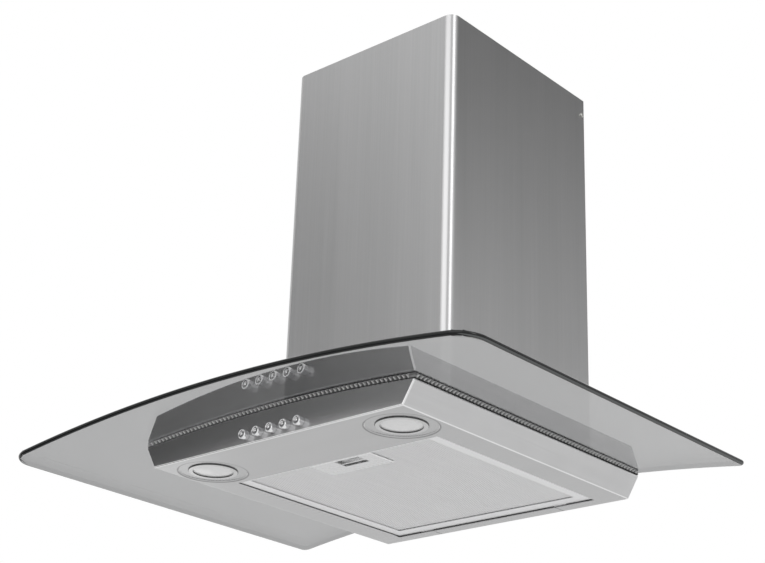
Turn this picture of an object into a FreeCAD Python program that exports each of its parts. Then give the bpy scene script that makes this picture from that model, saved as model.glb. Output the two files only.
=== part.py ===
import FreeCAD
import Part
import math
import os

# Chimney hood with a curved glass canopy, hung on a wall. Sizes are in millimetres.
# X runs to the right seen from the front, Y runs back to the wall, Z runs up.
# The origin lies on the wall plane, on the centre line, level with the underside of the
# glass at its crown. Every piece is built where it sits on the finished hood.

# ---------------------------------------------------------------- driving dimensions
# Glass canopy: one sheet of tempered glass, bent about an axis that runs front to back.
glass_width = 600.0
glass_depth = 446.0
glass_thickness = 5.0
glass_sagitta = 21.8
glass_wall_gap = 1.0
glass_front_corner = 24.0
glass_rear_corner = 8.0
glass_notch_corner = 6.0
glass_notch_clearance = 3.0

# Casing under the glass: folded stainless sheet, wider at the top than at the bottom.
sheet = 0.8
casing_top_width = 355.0
casing_bottom_width = 327.0
casing_depth = 363.0
casing_wall_gap = 5.0
casing_drop = 34.0
casing_bend = 1.6
rim_gap = 2.9
rim_flange = 34.0
rear_slit_x = 83.0
rear_slit_width = 0.6

# Ribbed seal between the rim of the casing and the glass.
seal_play = 0.1
seal_setback = 1.0
seal_width = 30.0
seal_rib_pitch = 5.2
seal_notch_width = 2.6
seal_notch_depth = 3.2

# Bolts that clamp the glass to the rim.
bolt_side_inset = 29.0
bolt_edge = 22.0
bolt_radius = 2.5
bolt_play = 0.15
bolt_head_radius = 4.5
bolt_head_height = 2.8
bolt_below = 9.0
glass_hole_radius = 4.0
washer_radius = 8.0
washer_thickness = 1.5
nut_radius = 4.2
nut_height = 4.0

# Deck plate that closes the casing under the glass and carries the fan box.
deck_rim_play = 0.6
deck_side_play = 0.3
deck_end_play = 0.7
deck_leg = 9.0
deck_bolt_clearance = 4.5
deck_opening_margin = 7.0

# Fan box inside the chimney.
fan_box_side_gap = 3.6
fan_box_front_gap = 4.4
fan_box_top_z = 248.0
fan_box_flange = 10.0
fan_box_play = 2.0
deck_screw_inset = 34.0
deck_screw_x = 60.0
access_hole_radius = 8.0

# Hanging plate: a hat section between the fan box and the wall.
hanger_thickness = 1.5
hanger_edge = 2.0
hanger_foot = 8.0
hanger_space = 6.2
hanger_rise = 6.0
hanger_leg_bottom_z = 8.0
hanger_top_drop = 3.0
hanger_dimple_x = 60.0
hanger_dimple_rise = 14.0
hanger_dimple_radius = 5.0
wall_hole_x = 75.0
lock_hole_z = 40.0
lock_hole_radius = 3.5
keyhole_z = 205.0
keyhole_entry_radius = 6.0
keyhole_rise = 12.0
rivet_radius = 2.0
rivet_head_radius = 3.4
rivet_head_height = 1.2
rivet_heights = (30.0, 125.0, 220.0)

# Screws with pan heads.
screw_radius = 2.0
screw_play = 0.15
screw_head_radius = 3.5
screw_head_height = 2.0

# Blower: double-width fan wheel in a scroll that grows by one step every quarter turn.
scroll_rear_gap = 8.5
scroll_front_gap = 22.9
scroll_floor_gap = 18.7
scroll_step = 7.0
scroll_half_width = 48.0
scroll_wall = 1.5
scroll_tongue_angle = 60.0
scroll_mouth_length = 139.5
scroll_shaft_hole = 15.0
scroll_flange_edge = 4.8
scroll_flange_y = 7.0
inlet_wheel_gap = 4.0
inlet_ring_depth = 5.0
inlet_ring_wall = 2.0
wheel_scroll_gap = 10.0
wheel_wall_gap = 6.0
blade_depth = 14.0
wheel_side_play = 2.0
wheel_disc = 2.0
wheel_ring = 6.0
wheel_hub_radius = 14.0
wheel_hub_length = 25.0
blade_count = 36
blade_thickness = 0.8
blade_bulge = 4.0
shaft_radius = 4.0
shaft_play = 0.05
shaft_inner_end = 5.0
motor_flange_radius = 45.0
motor_flange = 2.0
motor_radius = 39.0
motor_end_gap = 7.2
motor_boss_radius = 12.0
motor_boss = 4.0
motor_screw_circle = 42.0
motor_screw_radius = 1.6

# Electrical pieces inside the fan box.
capacitor_radius = 14.0
capacitor_length = 55.0
capacitor_front_gap = 16.4
capacitor_bottom_z = 20.0
capacitor_play = 0.3
clip_height = 12.0
clip_wall = 1.0
terminal_scroll_gap = 1.0
terminal_size_y = 58.0
terminal_size_z = 42.0
terminal_wall = 1.5
terminal_side_gap = 2.2
terminal_back_gap = 5.0
block_side_gap = 4.0
block_front_gap = 9.9
block_ways = 3
block_hole_radius = 2.0
block_hole_depth = 7.0
block_size_y = 12.0
block_size_z = 14.0
gland_back_inset = 18.0
gland_radius = 8.0
gland_collar_radius = 11.0
gland_collar_height = 3.0
gland_above = 15.0
gland_below = 6.0
gland_bore_radius = 4.2

# Outlet collar with two non-return flaps on one pin.
collar_radius = 75.0
collar_wall = 2.5
collar_height = 50.0
collar_flange_width = 9.0
collar_flange = 2.5
flap_pin_radius = 1.5
flap_pin_play = 0.05
flap_knuckle_radius = 3.0
flap_rise = 22.0
flap_thickness = 1.2
flap_edge_play = 1.0
flap_knuckle_play = 0.4
flap_ledge = 3.0
flap_ledge_height = 2.5
flap_ledge_play = 0.3
flap_knuckles = 5

# Chimney: the visible outer cover and the telescopic one inside it.
chimney_width = 228.0
chimney_depth = 245.0
chimney_top_z = 455.0
chimney_bend = 10.5
chimney_return = 12.0
chimney_glass_play = 0.3
inner_chimney_play = 2.8
inner_chimney_rear_y = -16.0
inner_chimney_bottom_z = 12.0
inner_chimney_top_drop = 3.0
stop_tab_length = 10.0
stop_tab_reach = 5.7
stop_tab_play = 0.3
stop_tab_ys = (-60.0, -180.0)

# Wall bracket that holds the top of the outer chimney.
bracket_drop = 21.0
bracket_height = 20.0
bracket_thickness = 1.2
bracket_end_play = 2.0
bracket_offset = 2.8
bracket_tab = 10.0
bracket_side_play = 0.1
bracket_hole_x = 70.0
bracket_hole_radius = 2.75
chimney_screw_y = -6.5
chimney_screw_length = 5.0
chimney_screw_radius = 1.5

# Grease filter: cassette in the underside, hung at the rear and latched at the front.
filter_side_border = 31.0
filter_rear_border = 17.0
filter_lamp_gap = 6.5
filter_recess = 1.4
filter_side_play = 0.8
filter_front_play = 0.8
filter_rear_play = 1.0
filter_height = 9.0
filter_wall = 0.8
filter_lip_side = 13.0
filter_lip_front = 4.0
filter_lip_rear = 16.0
filter_sheet = 0.6
filter_sheet_play = 0.2
pleat_pitch = 6.0
pleat_sheet = 0.6
lug_x = 90.0
lug_width = 16.0
lug_length = 9.5
lug_thickness = 1.6
lug_play = 0.3

# Latch of the filter.
latch_plate_x = 5.0
latch_plate_width = 80.0
latch_plate_depth = 36.0
latch_plate_thickness = 0.7
finger_slot_x = 11.5
finger_slot_width = 31.0
finger_slot_inset = 6.2
finger_slot_length = 17.5
finger_slot_depth = 5.0
finger_slot_wall = 0.7
latch_width = 16.0
latch_thickness = 1.6
latch_lip = 2.0
latch_lip_inset = 10.5
latch_play = 0.3
latch_tip_gap = 0.3
latch_spring_radius = 1.6
latch_spring_wire = 0.4
latch_spring_turns = 3

# Lamps.
lamp_side_inset = 38.8
lamp_front_inset = 45.0
dish_radius = 35.5
dish_floor_radius = 34.3
dish_depth = 1.2
lamp_hole_radius = 24.3
lamp_ring_radius = 25.4
lamp_ring_opening = 20.6
lamp_ring_thickness = 1.1
lamp_ring_tube_radius = 23.3
lamp_ring_tube_wall = 1.0
lamp_ring_tube_height = 10.0
lens_thickness = 1.4
lens_play = 0.1
can_radius = 24.0
can_wall = 0.6
can_deck_gap = 2.0
can_wing = 6.0
can_wing_width = 8.0
bulb_base_radius = 8.0
bulb_base_height = 5.0
bulb_radius = 6.0

# Push buttons and their switch block.
button_count = 5
button_pitch = 18.0
button_centre_x = 3.0
button_rise = 9.2
button_radius = 4.75
button_reach = 7.0
button_inside = 6.0
button_dome = 0.8
button_stem_radius = 2.0
button_stem_length = 14.0
button_travel = 3.0
button_play = 0.25
block_margin = 9.0
block_depth = 31.0
block_floor_gap = 2.2
block_step = 11.2
switch_screw_length = 8.0
button_spring_radius = 3.5
button_spring_wire = 0.5
button_spring_turns = 4
spring_end_gap = 0.15

# ---------------------------------------------------------------- places that follow
V = FreeCAD.Vector
X = V(1, 0, 0)
Y = V(0, 1, 0)
Z = V(0, 0, 1)

arch_radius = (glass_width ** 2 / 4 + glass_sagitta ** 2) / (2 * glass_sagitta)
arch_axis_z = -arch_radius


def arch_z(x, offset):
    """Height of the surface that runs parallel to the glass underside, offset above it."""
    return arch_axis_z + math.sqrt((arch_radius + offset) ** 2 - x ** 2)


casing_back_y = -casing_wall_gap
casing_front_y = casing_back_y - casing_depth
casing_bottom_z = -casing_drop
bolt_x = casing_top_width / 2 - bolt_side_inset
bolt_rear_y = casing_back_y - bolt_edge
bolt_front_y = casing_front_y + bolt_edge
bolt_angle = math.degrees(math.asin(bolt_x / arch_radius))

deck_top_z = arch_z(casing_top_width / 2, -rim_gap - sheet) - deck_rim_play
deck_bottom_z = deck_top_z - sheet

chimney_half = chimney_width / 2
inner_chimney_half = chimney_half - sheet - inner_chimney_play
inner_chimney_front_y = -chimney_depth + sheet + inner_chimney_play

fan_box_half = inner_chimney_half - sheet - fan_box_side_gap
fan_box_back_y = -hanger_space
fan_box_front_y = inner_chimney_front_y + sheet + fan_box_front_gap
fan_box_under_top_z = fan_box_top_z - sheet

hanger_half_width = fan_box_half - hanger_foot - hanger_edge
hanger_bottom_z = casing_bottom_z + hanger_rise
hanger_dimple_z = casing_bottom_z + hanger_dimple_rise
hanger_top_z = fan_box_top_z - hanger_top_drop

scroll_rear_y = fan_box_back_y - sheet - scroll_rear_gap
scroll_front_y = fan_box_front_y + sheet + scroll_front_gap
scroll_radius = (scroll_rear_y - scroll_front_y - 3 * scroll_step) / 2
scroll_mouth_front_y = scroll_rear_y - scroll_mouth_length
fan_axis_y = scroll_front_y + scroll_radius + scroll_step / 2
fan_axis_z = deck_top_z + scroll_floor_gap + scroll_radius + 1.5 * scroll_step

wheel_radius = scroll_radius - wheel_scroll_gap
wheel_half_width = scroll_half_width - wheel_wall_gap
wheel_blade_inner = wheel_radius - blade_depth
inlet_radius = wheel_blade_inner - inlet_wheel_gap - inlet_ring_wall
motor_length = (fan_box_half - sheet - motor_end_gap - motor_boss - motor_flange
                - scroll_half_width)

collar_flange_radius = collar_radius + collar_flange_width
collar_screw_reach = (collar_radius + collar_flange_width / 2) / math.sqrt(2)
collar_y = (scroll_rear_y + scroll_mouth_front_y) / 2
scroll_flange_half = collar_screw_reach + scroll_flange_edge
flap_z = fan_box_top_z + flap_rise

terminal_left_x = scroll_flange_half + terminal_scroll_gap
terminal_right_x = fan_box_half - sheet - terminal_side_gap
terminal_back_y = fan_box_back_y - sheet - terminal_back_gap
gland_x = (terminal_left_x + terminal_right_x) / 2
gland_y = terminal_back_y - gland_back_inset
capacitor_y = fan_box_front_y + sheet + capacitor_front_gap + capacitor_radius

bracket_z = chimney_top_z - bracket_drop
bracket_half_width = chimney_half - chimney_return - bracket_end_play

dish_floor_z = casing_bottom_z + dish_depth
dish_top_z = dish_floor_z + sheet
lamp_x = casing_bottom_width / 2 - lamp_side_inset
lamp_y = casing_front_y + lamp_front_inset
can_top_z = deck_bottom_z - can_deck_gap

filter_opening_half_width = casing_bottom_width / 2 - filter_side_border
filter_opening_front_y = lamp_y + dish_radius + filter_lamp_gap
filter_opening_back_y = casing_back_y - filter_rear_border
filter_half = filter_opening_half_width - filter_side_play
filter_front_y = filter_opening_front_y + filter_front_play
filter_back_y = filter_opening_back_y - filter_rear_play
filter_bottom_z = casing_bottom_z + filter_recess
filter_top_z = filter_bottom_z + filter_height
finger_slot_front_y = filter_front_y + finger_slot_inset
latch_lip_y = finger_slot_front_y + latch_lip_inset

block_half = (button_count - 1) * button_pitch / 2 + block_margin
block_front_y = casing_front_y + sheet
block_bottom_z = casing_bottom_z + sheet + block_floor_gap
block_step_y = block_front_y + block_step
button_z = casing_bottom_z + button_rise
button_tip_y = casing_front_y - button_reach
button_shoulder_y = casing_front_y + button_inside


# ---------------------------------------------------------------- shapes used all over
def save(node, shape):
    """Write one node of the hood as a STEP file."""
    shape.exportStep(os.path.join("parts", node + ".step"))


def box(x0, x1, y0, y1, z0, z1):
    """Block between two corners."""
    return Part.makeBox(x1 - x0, y1 - y0, z1 - z0, V(x0, y0, z0))


def rod(radius, length, start, direction):
    """Round bar from a start point."""
    return Part.makeCylinder(radius, length, start, direction)


def ring(outer, inner, length, start, direction):
    """Round tube from a start point."""
    return rod(outer, length, start, direction).cut(rod(inner, length, start, direction))


def join(shapes):
    """One solid from pieces that touch or overlap."""
    return shapes[0].multiFuse(shapes[1:]).removeSplitter()


def group(shapes):
    """Several separate solids in one node."""
    return Part.makeCompound(shapes)


def mirrored(shape):
    """The same piece on the other side of the centre line."""
    return shape.mirror(V(0, 0, 0), X)


def rounded_face(corners):
    """Flat face round corner points, each given with the radius of its bend."""
    stops = []
    count = len(corners)
    for index, (point, radius) in enumerate(corners):
        if radius == 0:
            stops.append((point, None, point))
            continue
        back = (corners[index - 1][0] - point).normalize()
        ahead = (corners[(index + 1) % count][0] - point).normalize()
        half_angle = back.getAngle(ahead) / 2
        run = radius / math.tan(half_angle)
        inward = (back + ahead).normalize()
        middle = point + inward * (radius / math.sin(half_angle) - radius)
        stops.append((point + back * run, middle, point + ahead * run))
    edges = []
    for index, (start, middle, end) in enumerate(stops):
        if middle is not None:
            edges.append(Part.Arc(start, middle, end).toShape())
        following = stops[(index + 1) % count][0]
        if end.distanceToPoint(following) > 1e-6:
            edges.append(Part.LineSegment(end, following).toShape())
    return Part.Face(Part.Wire(edges))


def rounded_block(x0, x1, y0, y1, z0, z1, front_radius, rear_radius):
    """Upright block whose four standing edges are rounded."""
    face = rounded_face([
        (V(x0, y0, z0), front_radius),
        (V(x1, y0, z0), front_radius),
        (V(x1, y1, z0), rear_radius),
        (V(x0, y1, z0), rear_radius),
    ])
    return face.extrude(V(0, 0, z1 - z0))


def arch_arc(half_width, offset, y):
    """Arc that follows the glass from left to right."""
    return Part.Arc(
        V(-half_width, y, arch_z(half_width, offset)),
        V(0, y, offset),
        V(half_width, y, arch_z(half_width, offset)),
    ).toShape()


def arch_slab(half_width, low, high, y0, y1):
    """Slab between two surfaces parallel to the glass."""
    right = Part.LineSegment(
        V(half_width, y0, arch_z(half_width, low)), V(half_width, y0, arch_z(half_width, high))
    ).toShape()
    left = Part.LineSegment(
        V(-half_width, y0, arch_z(half_width, low)), V(-half_width, y0, arch_z(half_width, high))
    ).toShape()
    outline = Part.Wire(Part.__sortEdges__([
        arch_arc(half_width, low, y0), right, arch_arc(half_width, high, y0), left,
    ]))
    return Part.Face(outline).extrude(V(0, y1 - y0, 0))


def tilted(shape, angle):
    """Swing a piece made at the crown round the arch, so that it stands square to the glass."""
    return shape.copy().rotate(V(0, 0, arch_axis_z), Y, angle)


def at_four_bolts(shape):
    """Copies of a piece made at the crown, over Y = 0, at the four glass bolts."""
    places = []
    for angle in (-bolt_angle, bolt_angle):
        for y in (bolt_rear_y, bolt_front_y):
            places.append(tilted(shape.translated(V(0, y, 0)), angle))
    return places


def pan_screw(head_seat, direction, length, radius=screw_radius):
    """Screw whose head lies on head_seat and whose shank runs along direction."""
    head_radius = radius * screw_head_radius / screw_radius
    head = rod(head_radius, screw_head_height, head_seat - direction * screw_head_height, direction)
    rim = [edge for edge in head.Edges if edge.Curve.TypeId == "Part::GeomCircle"]
    far = max(rim, key=lambda edge: (edge.Curve.Center - head_seat).Length)
    head = head.makeFillet(screw_head_height * 0.45, [far])
    return head.fuse(rod(radius, length, head_seat, direction)).removeSplitter()


def arc_from(start, corner, end):
    """Arc from start to end, tangent to the two equal lines that meet at the corner."""
    middle = (start + end) * 0.5
    half_chord = (end - start).Length / 2
    half_turn = math.acos(half_chord / (corner - start).Length)
    bulge = (corner - middle).normalize() * (half_chord * math.tan(half_turn / 2))
    return Part.Arc(start, middle + bulge, end).toShape()


def coil(radius, wire, length, turns, start, direction):
    """Compression spring along direction: its path is tangent arcs, two per quarter turn."""
    rise = length - wire
    slope = math.atan2(rise, 2 * math.pi * radius * turns)
    path = []
    for quarter in range(4 * turns):
        ends = []
        for step in (quarter, quarter + 1):
            angle = math.pi / 2 * step
            point = V(radius * math.cos(angle), radius * math.sin(angle),
                      wire / 2 + rise * step / (4 * turns))
            tangent = V(-math.sin(angle) * math.cos(slope), math.cos(angle) * math.cos(slope),
                        math.sin(slope))
            ends.append((point, tangent))
        (p0, t0), (p1, t1) = ends
        chord = p1 - p0
        bend = 2 * (1 - t0.dot(t1))
        along = chord.dot(t0 + t1)
        reach = (math.sqrt(along ** 2 + bend * chord.dot(chord)) - along) / bend
        corner_0 = p0 + t0 * reach
        corner_1 = p1 - t1 * reach
        meeting = (corner_0 + corner_1) * 0.5
        path.append(arc_from(p0, corner_0, meeting))
        path.append(arc_from(meeting, corner_1, p1))
        if quarter == 0:
            section = Part.Wire(Part.Circle(p0, t0, wire / 2).toShape())
    spring = Part.Wire(path).makePipeShell([section], True, False)
    turn = FreeCAD.Rotation(Z, direction)
    return spring.transformed(FreeCAD.Placement(start, turn).toMatrix())


# ---------------------------------------------------------------- glass canopy
def glass_canopy():
    """Arched sheet with a notch at the wall, through which the fan box rises."""
    spare = glass_thickness
    slab = arch_slab(glass_width / 2 + spare, 0, glass_thickness,
                     -glass_depth - spare, spare - glass_wall_gap)
    depth_of_arch = glass_sagitta + glass_thickness
    plan = rounded_block(
        -glass_width / 2, glass_width / 2, -glass_depth, -glass_wall_gap,
        -2 * depth_of_arch, 2 * depth_of_arch, glass_front_corner, glass_rear_corner,
    )
    notch_half = fan_box_half + glass_notch_clearance
    notch_front = fan_box_front_y - glass_notch_clearance
    notch = rounded_face([
        (V(-notch_half, notch_front, -depth_of_arch), glass_notch_corner),
        (V(notch_half, notch_front, -depth_of_arch), glass_notch_corner),
        (V(notch_half, glass_wall_gap, -depth_of_arch), 0),
        (V(-notch_half, glass_wall_gap, -depth_of_arch), 0),
    ]).extrude(V(0, 0, 2 * depth_of_arch))
    hole = rod(glass_hole_radius, 2 * glass_thickness, V(0, 0, -glass_thickness / 2), Z)
    return slab.common(plan).cut(notch).cut(group(at_four_bolts(hole)))


def glass_seal():
    """Flat rubber band on the rim, with ribs along the front and the sides."""
    half = casing_top_width / 2 - seal_setback
    front = casing_front_y + seal_setback
    back = casing_back_y - seal_setback
    low = -rim_gap + seal_play
    high = -seal_play
    band = arch_slab(half, low, high, front, back)
    deep = 4 * glass_sagitta
    clear = fan_box_half + fan_box_play
    band = band.cut(box(-half + seal_width, half - seal_width, front + seal_width,
                        back - seal_width, -deep, deep))
    band = band.cut(box(-clear, clear, back - 2 * seal_width, 0, -deep, deep))
    notches = []
    count_x = int((half - seal_rib_pitch) / seal_rib_pitch)
    for step in range(-count_x, count_x + 1):
        x = step * seal_rib_pitch
        notches.append(box(x - seal_notch_width / 2, x + seal_notch_width / 2,
                           front - 1, front + seal_notch_depth, -deep, deep))
    count_y = int((back - front - seal_rib_pitch) / seal_rib_pitch)
    for step in range(1, count_y + 1):
        y = front + step * seal_rib_pitch
        for side in (-1, 1):
            inner = side * (half - seal_notch_depth)
            outer = side * (half + 1)
            notches.append(box(min(inner, outer), max(inner, outer),
                               y - seal_notch_width / 2, y + seal_notch_width / 2, -deep, deep))
    hole = rod(bolt_radius + bolt_play, 4 * rim_gap, V(0, 0, -3 * rim_gap), Z)
    return band.cut(group(notches + at_four_bolts(hole)))


def glass_bolts():
    """Four bolts with round heads, square to the glass."""
    seat = glass_thickness + washer_thickness + 2 * seal_play
    shank = rod(bolt_radius, seat + bolt_below, V(0, 0, -bolt_below), Z)
    head = rod(bolt_head_radius, bolt_head_height, V(0, 0, seat), Z)
    top = [edge for edge in head.Edges if abs(edge.BoundBox.ZMin - head.BoundBox.ZMax) < 1e-6]
    head = head.makeFillet(bolt_head_height / 2, top)
    return group(at_four_bolts(join([head, shank])))


def glass_washers():
    """Four soft washers between the bolt heads and the glass."""
    washer = ring(washer_radius, bolt_radius + bolt_play, washer_thickness,
                  V(0, 0, glass_thickness + seal_play), Z)
    return group(at_four_bolts(washer))


def glass_nuts():
    """Four hexagon nuts under the rim."""
    corners = [(V(nut_radius * math.cos(math.radians(60 * k)),
                  nut_radius * math.sin(math.radians(60 * k)), 0), 0) for k in range(6)]
    nut = rounded_face(corners).extrude(V(0, 0, nut_height))
    nut = nut.cut(rod(bolt_radius + bolt_play, nut_height, V(0, 0, 0), Z))
    top = -rim_gap - sheet - seal_play
    return group(at_four_bolts(nut.translated(V(0, 0, top - nut_height))))


# ---------------------------------------------------------------- casing
def casing_side_x(z, inset):
    """Half width of the casing at a height: outside its sloping side, or inside the sheet."""
    top_half = casing_top_width / 2 - inset
    bottom_half = casing_bottom_width / 2 - inset
    top_z = arch_z(top_half, -rim_gap - inset)
    bottom_z = casing_bottom_z + inset
    share = (z - bottom_z) / (top_z - bottom_z)
    return bottom_half + (top_half - bottom_half) * share


def casing_body(inset):
    """Solid that the folded sheet wraps, or the space inside it when inset by the sheet."""
    top_half = casing_top_width / 2 - inset
    bottom_half = casing_bottom_width / 2 - inset
    top_z = arch_z(top_half, -rim_gap - inset)
    bottom_z = casing_bottom_z + inset
    y0 = casing_front_y + inset
    y1 = casing_back_y - inset
    corners = [V(-top_half, y0, top_z), V(-bottom_half, y0, bottom_z),
               V(bottom_half, y0, bottom_z), V(top_half, y0, top_z)]
    edges = [Part.LineSegment(a, b).toShape() for a, b in zip(corners, corners[1:])]
    edges.append(arch_arc(top_half, -rim_gap - inset, y0))
    solid = Part.Face(Part.Wire(Part.__sortEdges__(edges))).extrude(V(0, y1 - y0, 0))
    return solid.makeFillet(casing_bend - inset, solid.Edges)


def button_x(number):
    """Place of a button along the panel, counted from 1 at the left."""
    return button_centre_x + (number - 1 - (button_count - 1) / 2) * button_pitch


def hood_casing():
    """Folded casing with a rim, the filter opening, two lamp seats and five button holes."""
    shell = casing_body(0).cut(casing_body(sheet))
    half = casing_top_width / 2
    high = glass_thickness
    shell = shell.cut(box(-half + rim_flange, half - rim_flange, casing_front_y + rim_flange,
                          casing_back_y - rim_flange, casing_bottom_z / 2, high))
    clear = fan_box_half + fan_box_play
    shell = shell.cut(box(-clear, clear, casing_back_y - 2 * rim_flange, casing_back_y - sheet,
                          casing_bottom_z / 2, high))
    below = casing_bottom_z - sheet
    above = casing_bottom_z + 3 * sheet
    dishes = []
    cuts = [box(-filter_opening_half_width, filter_opening_half_width,
                filter_opening_front_y, filter_opening_back_y, below, above)]
    for side in (-1, 1):
        seat = V(side * lamp_x, lamp_y, casing_bottom_z)
        dishes.append(Part.makeCone(dish_radius, dish_floor_radius, dish_depth,
                                    seat + Z * sheet, Z))
        cuts.append(Part.makeCone(dish_radius, dish_floor_radius, dish_depth, seat, Z))
        cuts.append(rod(lamp_hole_radius, 4 * sheet, seat, Z))
        slit = side * rear_slit_x
        cuts.append(box(slit - rear_slit_width / 2, slit + rear_slit_width / 2,
                        filter_opening_back_y - sheet, casing_back_y - casing_bend, below, above))
    for number in range(1, button_count + 1):
        cuts.append(rod(button_radius + button_play, 4 * sheet,
                        V(button_x(number), casing_front_y - sheet, button_z), Y))
    hole = rod(bolt_radius + bolt_play, 4 * rim_gap, V(0, 0, -3 * rim_gap), Z)
    cuts += at_four_bolts(hole)
    return shell.multiFuse(dishes).cut(group(cuts)).removeSplitter()


# ---------------------------------------------------------------- deck and fan box
def deck_screw_places():
    """Where the flange of the fan box is screwed to the deck."""
    middle = fan_box_half + fan_box_flange / 2
    places = []
    rear = fan_box_back_y - deck_screw_inset
    front = fan_box_front_y + deck_screw_inset
    for y in (rear, (rear + front) / 2, front):
        places += [(-middle, y), (middle, y)]
    for x in (-deck_screw_x, deck_screw_x):
        places.append((x, fan_box_front_y - fan_box_flange / 2))
    return places


def switch_screw_places():
    """Where the switch block hangs on the deck."""
    reach = block_half - block_margin / 2
    y = block_front_y + block_depth / 2
    return [(button_centre_x - reach, y), (button_centre_x + reach, y)]


def deck_plate():
    """Sheet across the casing, with sloping legs welded to the casing's sides."""
    y0 = casing_front_y + sheet + deck_end_play
    y1 = casing_back_y - sheet - deck_end_play
    low_z = deck_top_z - deck_leg
    low_half = casing_side_x(low_z, sheet) - deck_side_play
    top_half = casing_side_x(deck_top_z, sheet) - deck_side_play
    outside = [V(-low_half, y0, low_z), V(low_half, y0, low_z),
               V(top_half, y0, deck_top_z), V(-top_half, y0, deck_top_z)]
    hollow = [V(sheet - low_half, y0, low_z), V(low_half - sheet, y0, low_z),
              V(top_half - sheet, y0, deck_bottom_z), V(sheet - top_half, y0, deck_bottom_z)]
    depth = V(0, y1 - y0, 0)
    deck = rounded_face([(point, 0) for point in outside]).extrude(depth)
    deck = deck.cut(rounded_face([(point, 0) for point in hollow]).extrude(depth))
    margin = deck_opening_margin
    cuts = [box(-fan_box_half + margin, fan_box_half - margin, fan_box_front_y + margin,
                fan_box_back_y - margin, low_z, 0)]
    for x, y in deck_screw_places() + switch_screw_places():
        cuts.append(rod(screw_radius + screw_play, 4 * sheet, V(x, y, deck_bottom_z - sheet), Z))
    clear = rod(nut_radius + deck_bolt_clearance, 2 * deck_leg, V(0, 0, -2 * deck_leg), Z)
    cuts += at_four_bolts(clear)
    return deck.cut(group(cuts))


def deck_screws():
    """Screws from the fan box flange down into the deck."""
    length = 2 * sheet + 2.0
    return group([pan_screw(V(x, y, deck_top_z + sheet), -Z, length)
                  for x, y in deck_screw_places()])


def collar_screw_places():
    """Where the collar, the top of the fan box and the scroll are screwed together."""
    reach = collar_screw_reach
    return [(sx * reach, collar_y + sy * reach) for sx in (-1, 1) for sy in (-1, 1)]


def fan_box():
    """Four walls, with a flange on three sides that stands on the deck."""
    outer = box(-fan_box_half, fan_box_half, fan_box_front_y, fan_box_back_y,
                deck_top_z, fan_box_under_top_z)
    flange = box(-fan_box_half - fan_box_flange, fan_box_half + fan_box_flange,
                 fan_box_front_y - fan_box_flange, fan_box_back_y, deck_top_z, deck_top_z + sheet)
    inner = box(-fan_box_half + sheet, fan_box_half - sheet, fan_box_front_y + sheet,
                fan_box_back_y - sheet, deck_top_z, fan_box_under_top_z)
    cuts = [inner]
    for x, y in deck_screw_places():
        cuts.append(rod(screw_radius + screw_play, 2 * sheet, V(x, y, deck_top_z), Z))
    for side in (-1, 1):
        for z in (lock_hole_z, keyhole_z + keyhole_rise):
            cuts.append(rod(access_hole_radius, 2 * sheet,
                            V(side * wall_hole_x, fan_box_back_y - sheet, z), Y))
        for z in rivet_heights:
            cuts.append(rod(rivet_radius + screw_play, 2 * sheet,
                            V(side * rivet_x(), fan_box_back_y - sheet, z), Y))
    return join([outer, flange]).cut(group(cuts))


def fan_box_lid():
    """Flat plate welded on the four walls, with the way out for the air and the cable gland."""
    plate = box(-fan_box_half, fan_box_half, fan_box_front_y, fan_box_back_y,
                fan_box_under_top_z, fan_box_top_z)
    cuts = [rod(collar_radius - collar_wall, 2 * sheet, V(0, collar_y, fan_box_under_top_z), Z),
            rod(gland_radius + screw_play, 2 * sheet, V(gland_x, gland_y, fan_box_under_top_z), Z)]
    for x, y in collar_screw_places():
        cuts.append(rod(screw_radius + screw_play, 2 * sheet, V(x, y, fan_box_under_top_z), Z))
    return plate.cut(group(cuts))


def rivet_x():
    """Middle of the hanging plate's feet."""
    return hanger_half_width + hanger_foot / 2


def hanging_plate():
    """Hat section: its middle lies on the wall, its feet on the back of the fan box."""
    half = hanger_half_width
    t = hanger_thickness
    pieces = [box(-half, half, -t, 0, hanger_bottom_z, hanger_top_z)]
    for side in (-1, 1):
        leg = box(half - t, half, -hanger_space, 0, hanger_leg_bottom_z, hanger_top_z)
        foot = box(half - t, half + hanger_foot, -hanger_space, -hanger_space + t,
                   hanger_leg_bottom_z, hanger_top_z)
        dimple = rod(hanger_dimple_radius, -t - casing_back_y,
                     V(hanger_dimple_x, casing_back_y, hanger_dimple_z), Y)
        for piece in (leg, foot, dimple):
            pieces.append(piece if side > 0 else mirrored(piece))
    cuts = []
    for side in (-1, 1):
        x = side * wall_hole_x
        cuts.append(rod(lock_hole_radius, 2 * t, V(x, -2 * t, lock_hole_z), Y))
        cuts.append(rod(keyhole_entry_radius, 2 * t, V(x, -2 * t, keyhole_z), Y))
        cuts.append(rod(lock_hole_radius, 2 * t, V(x, -2 * t, keyhole_z + keyhole_rise), Y))
        cuts.append(box(x - lock_hole_radius, x + lock_hole_radius, -2 * t, 0,
                        keyhole_z, keyhole_z + keyhole_rise))
        for z in rivet_heights:
            cuts.append(rod(rivet_radius + screw_play, 2 * t,
                            V(side * rivet_x(), -hanger_space, z), Y))
    return join(pieces).cut(group(cuts))


def hanger_rivets():
    """Six rivets that hold the hanging plate to the fan box."""
    rivets = []
    foot_y = -hanger_space + hanger_thickness
    for side in (-1, 1):
        for z in rivet_heights:
            inner = V(side * rivet_x(), fan_box_back_y - sheet, z)
            shank = rod(rivet_radius, foot_y - inner.y, inner, Y)
            near = rod(rivet_head_radius, rivet_head_height, inner - Y * rivet_head_height, Y)
            far = rod(rivet_head_radius, rivet_head_height, V(inner.x, foot_y, z), Y)
            rivets.append(join([shank, near, far]))
    return group(rivets)


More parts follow.
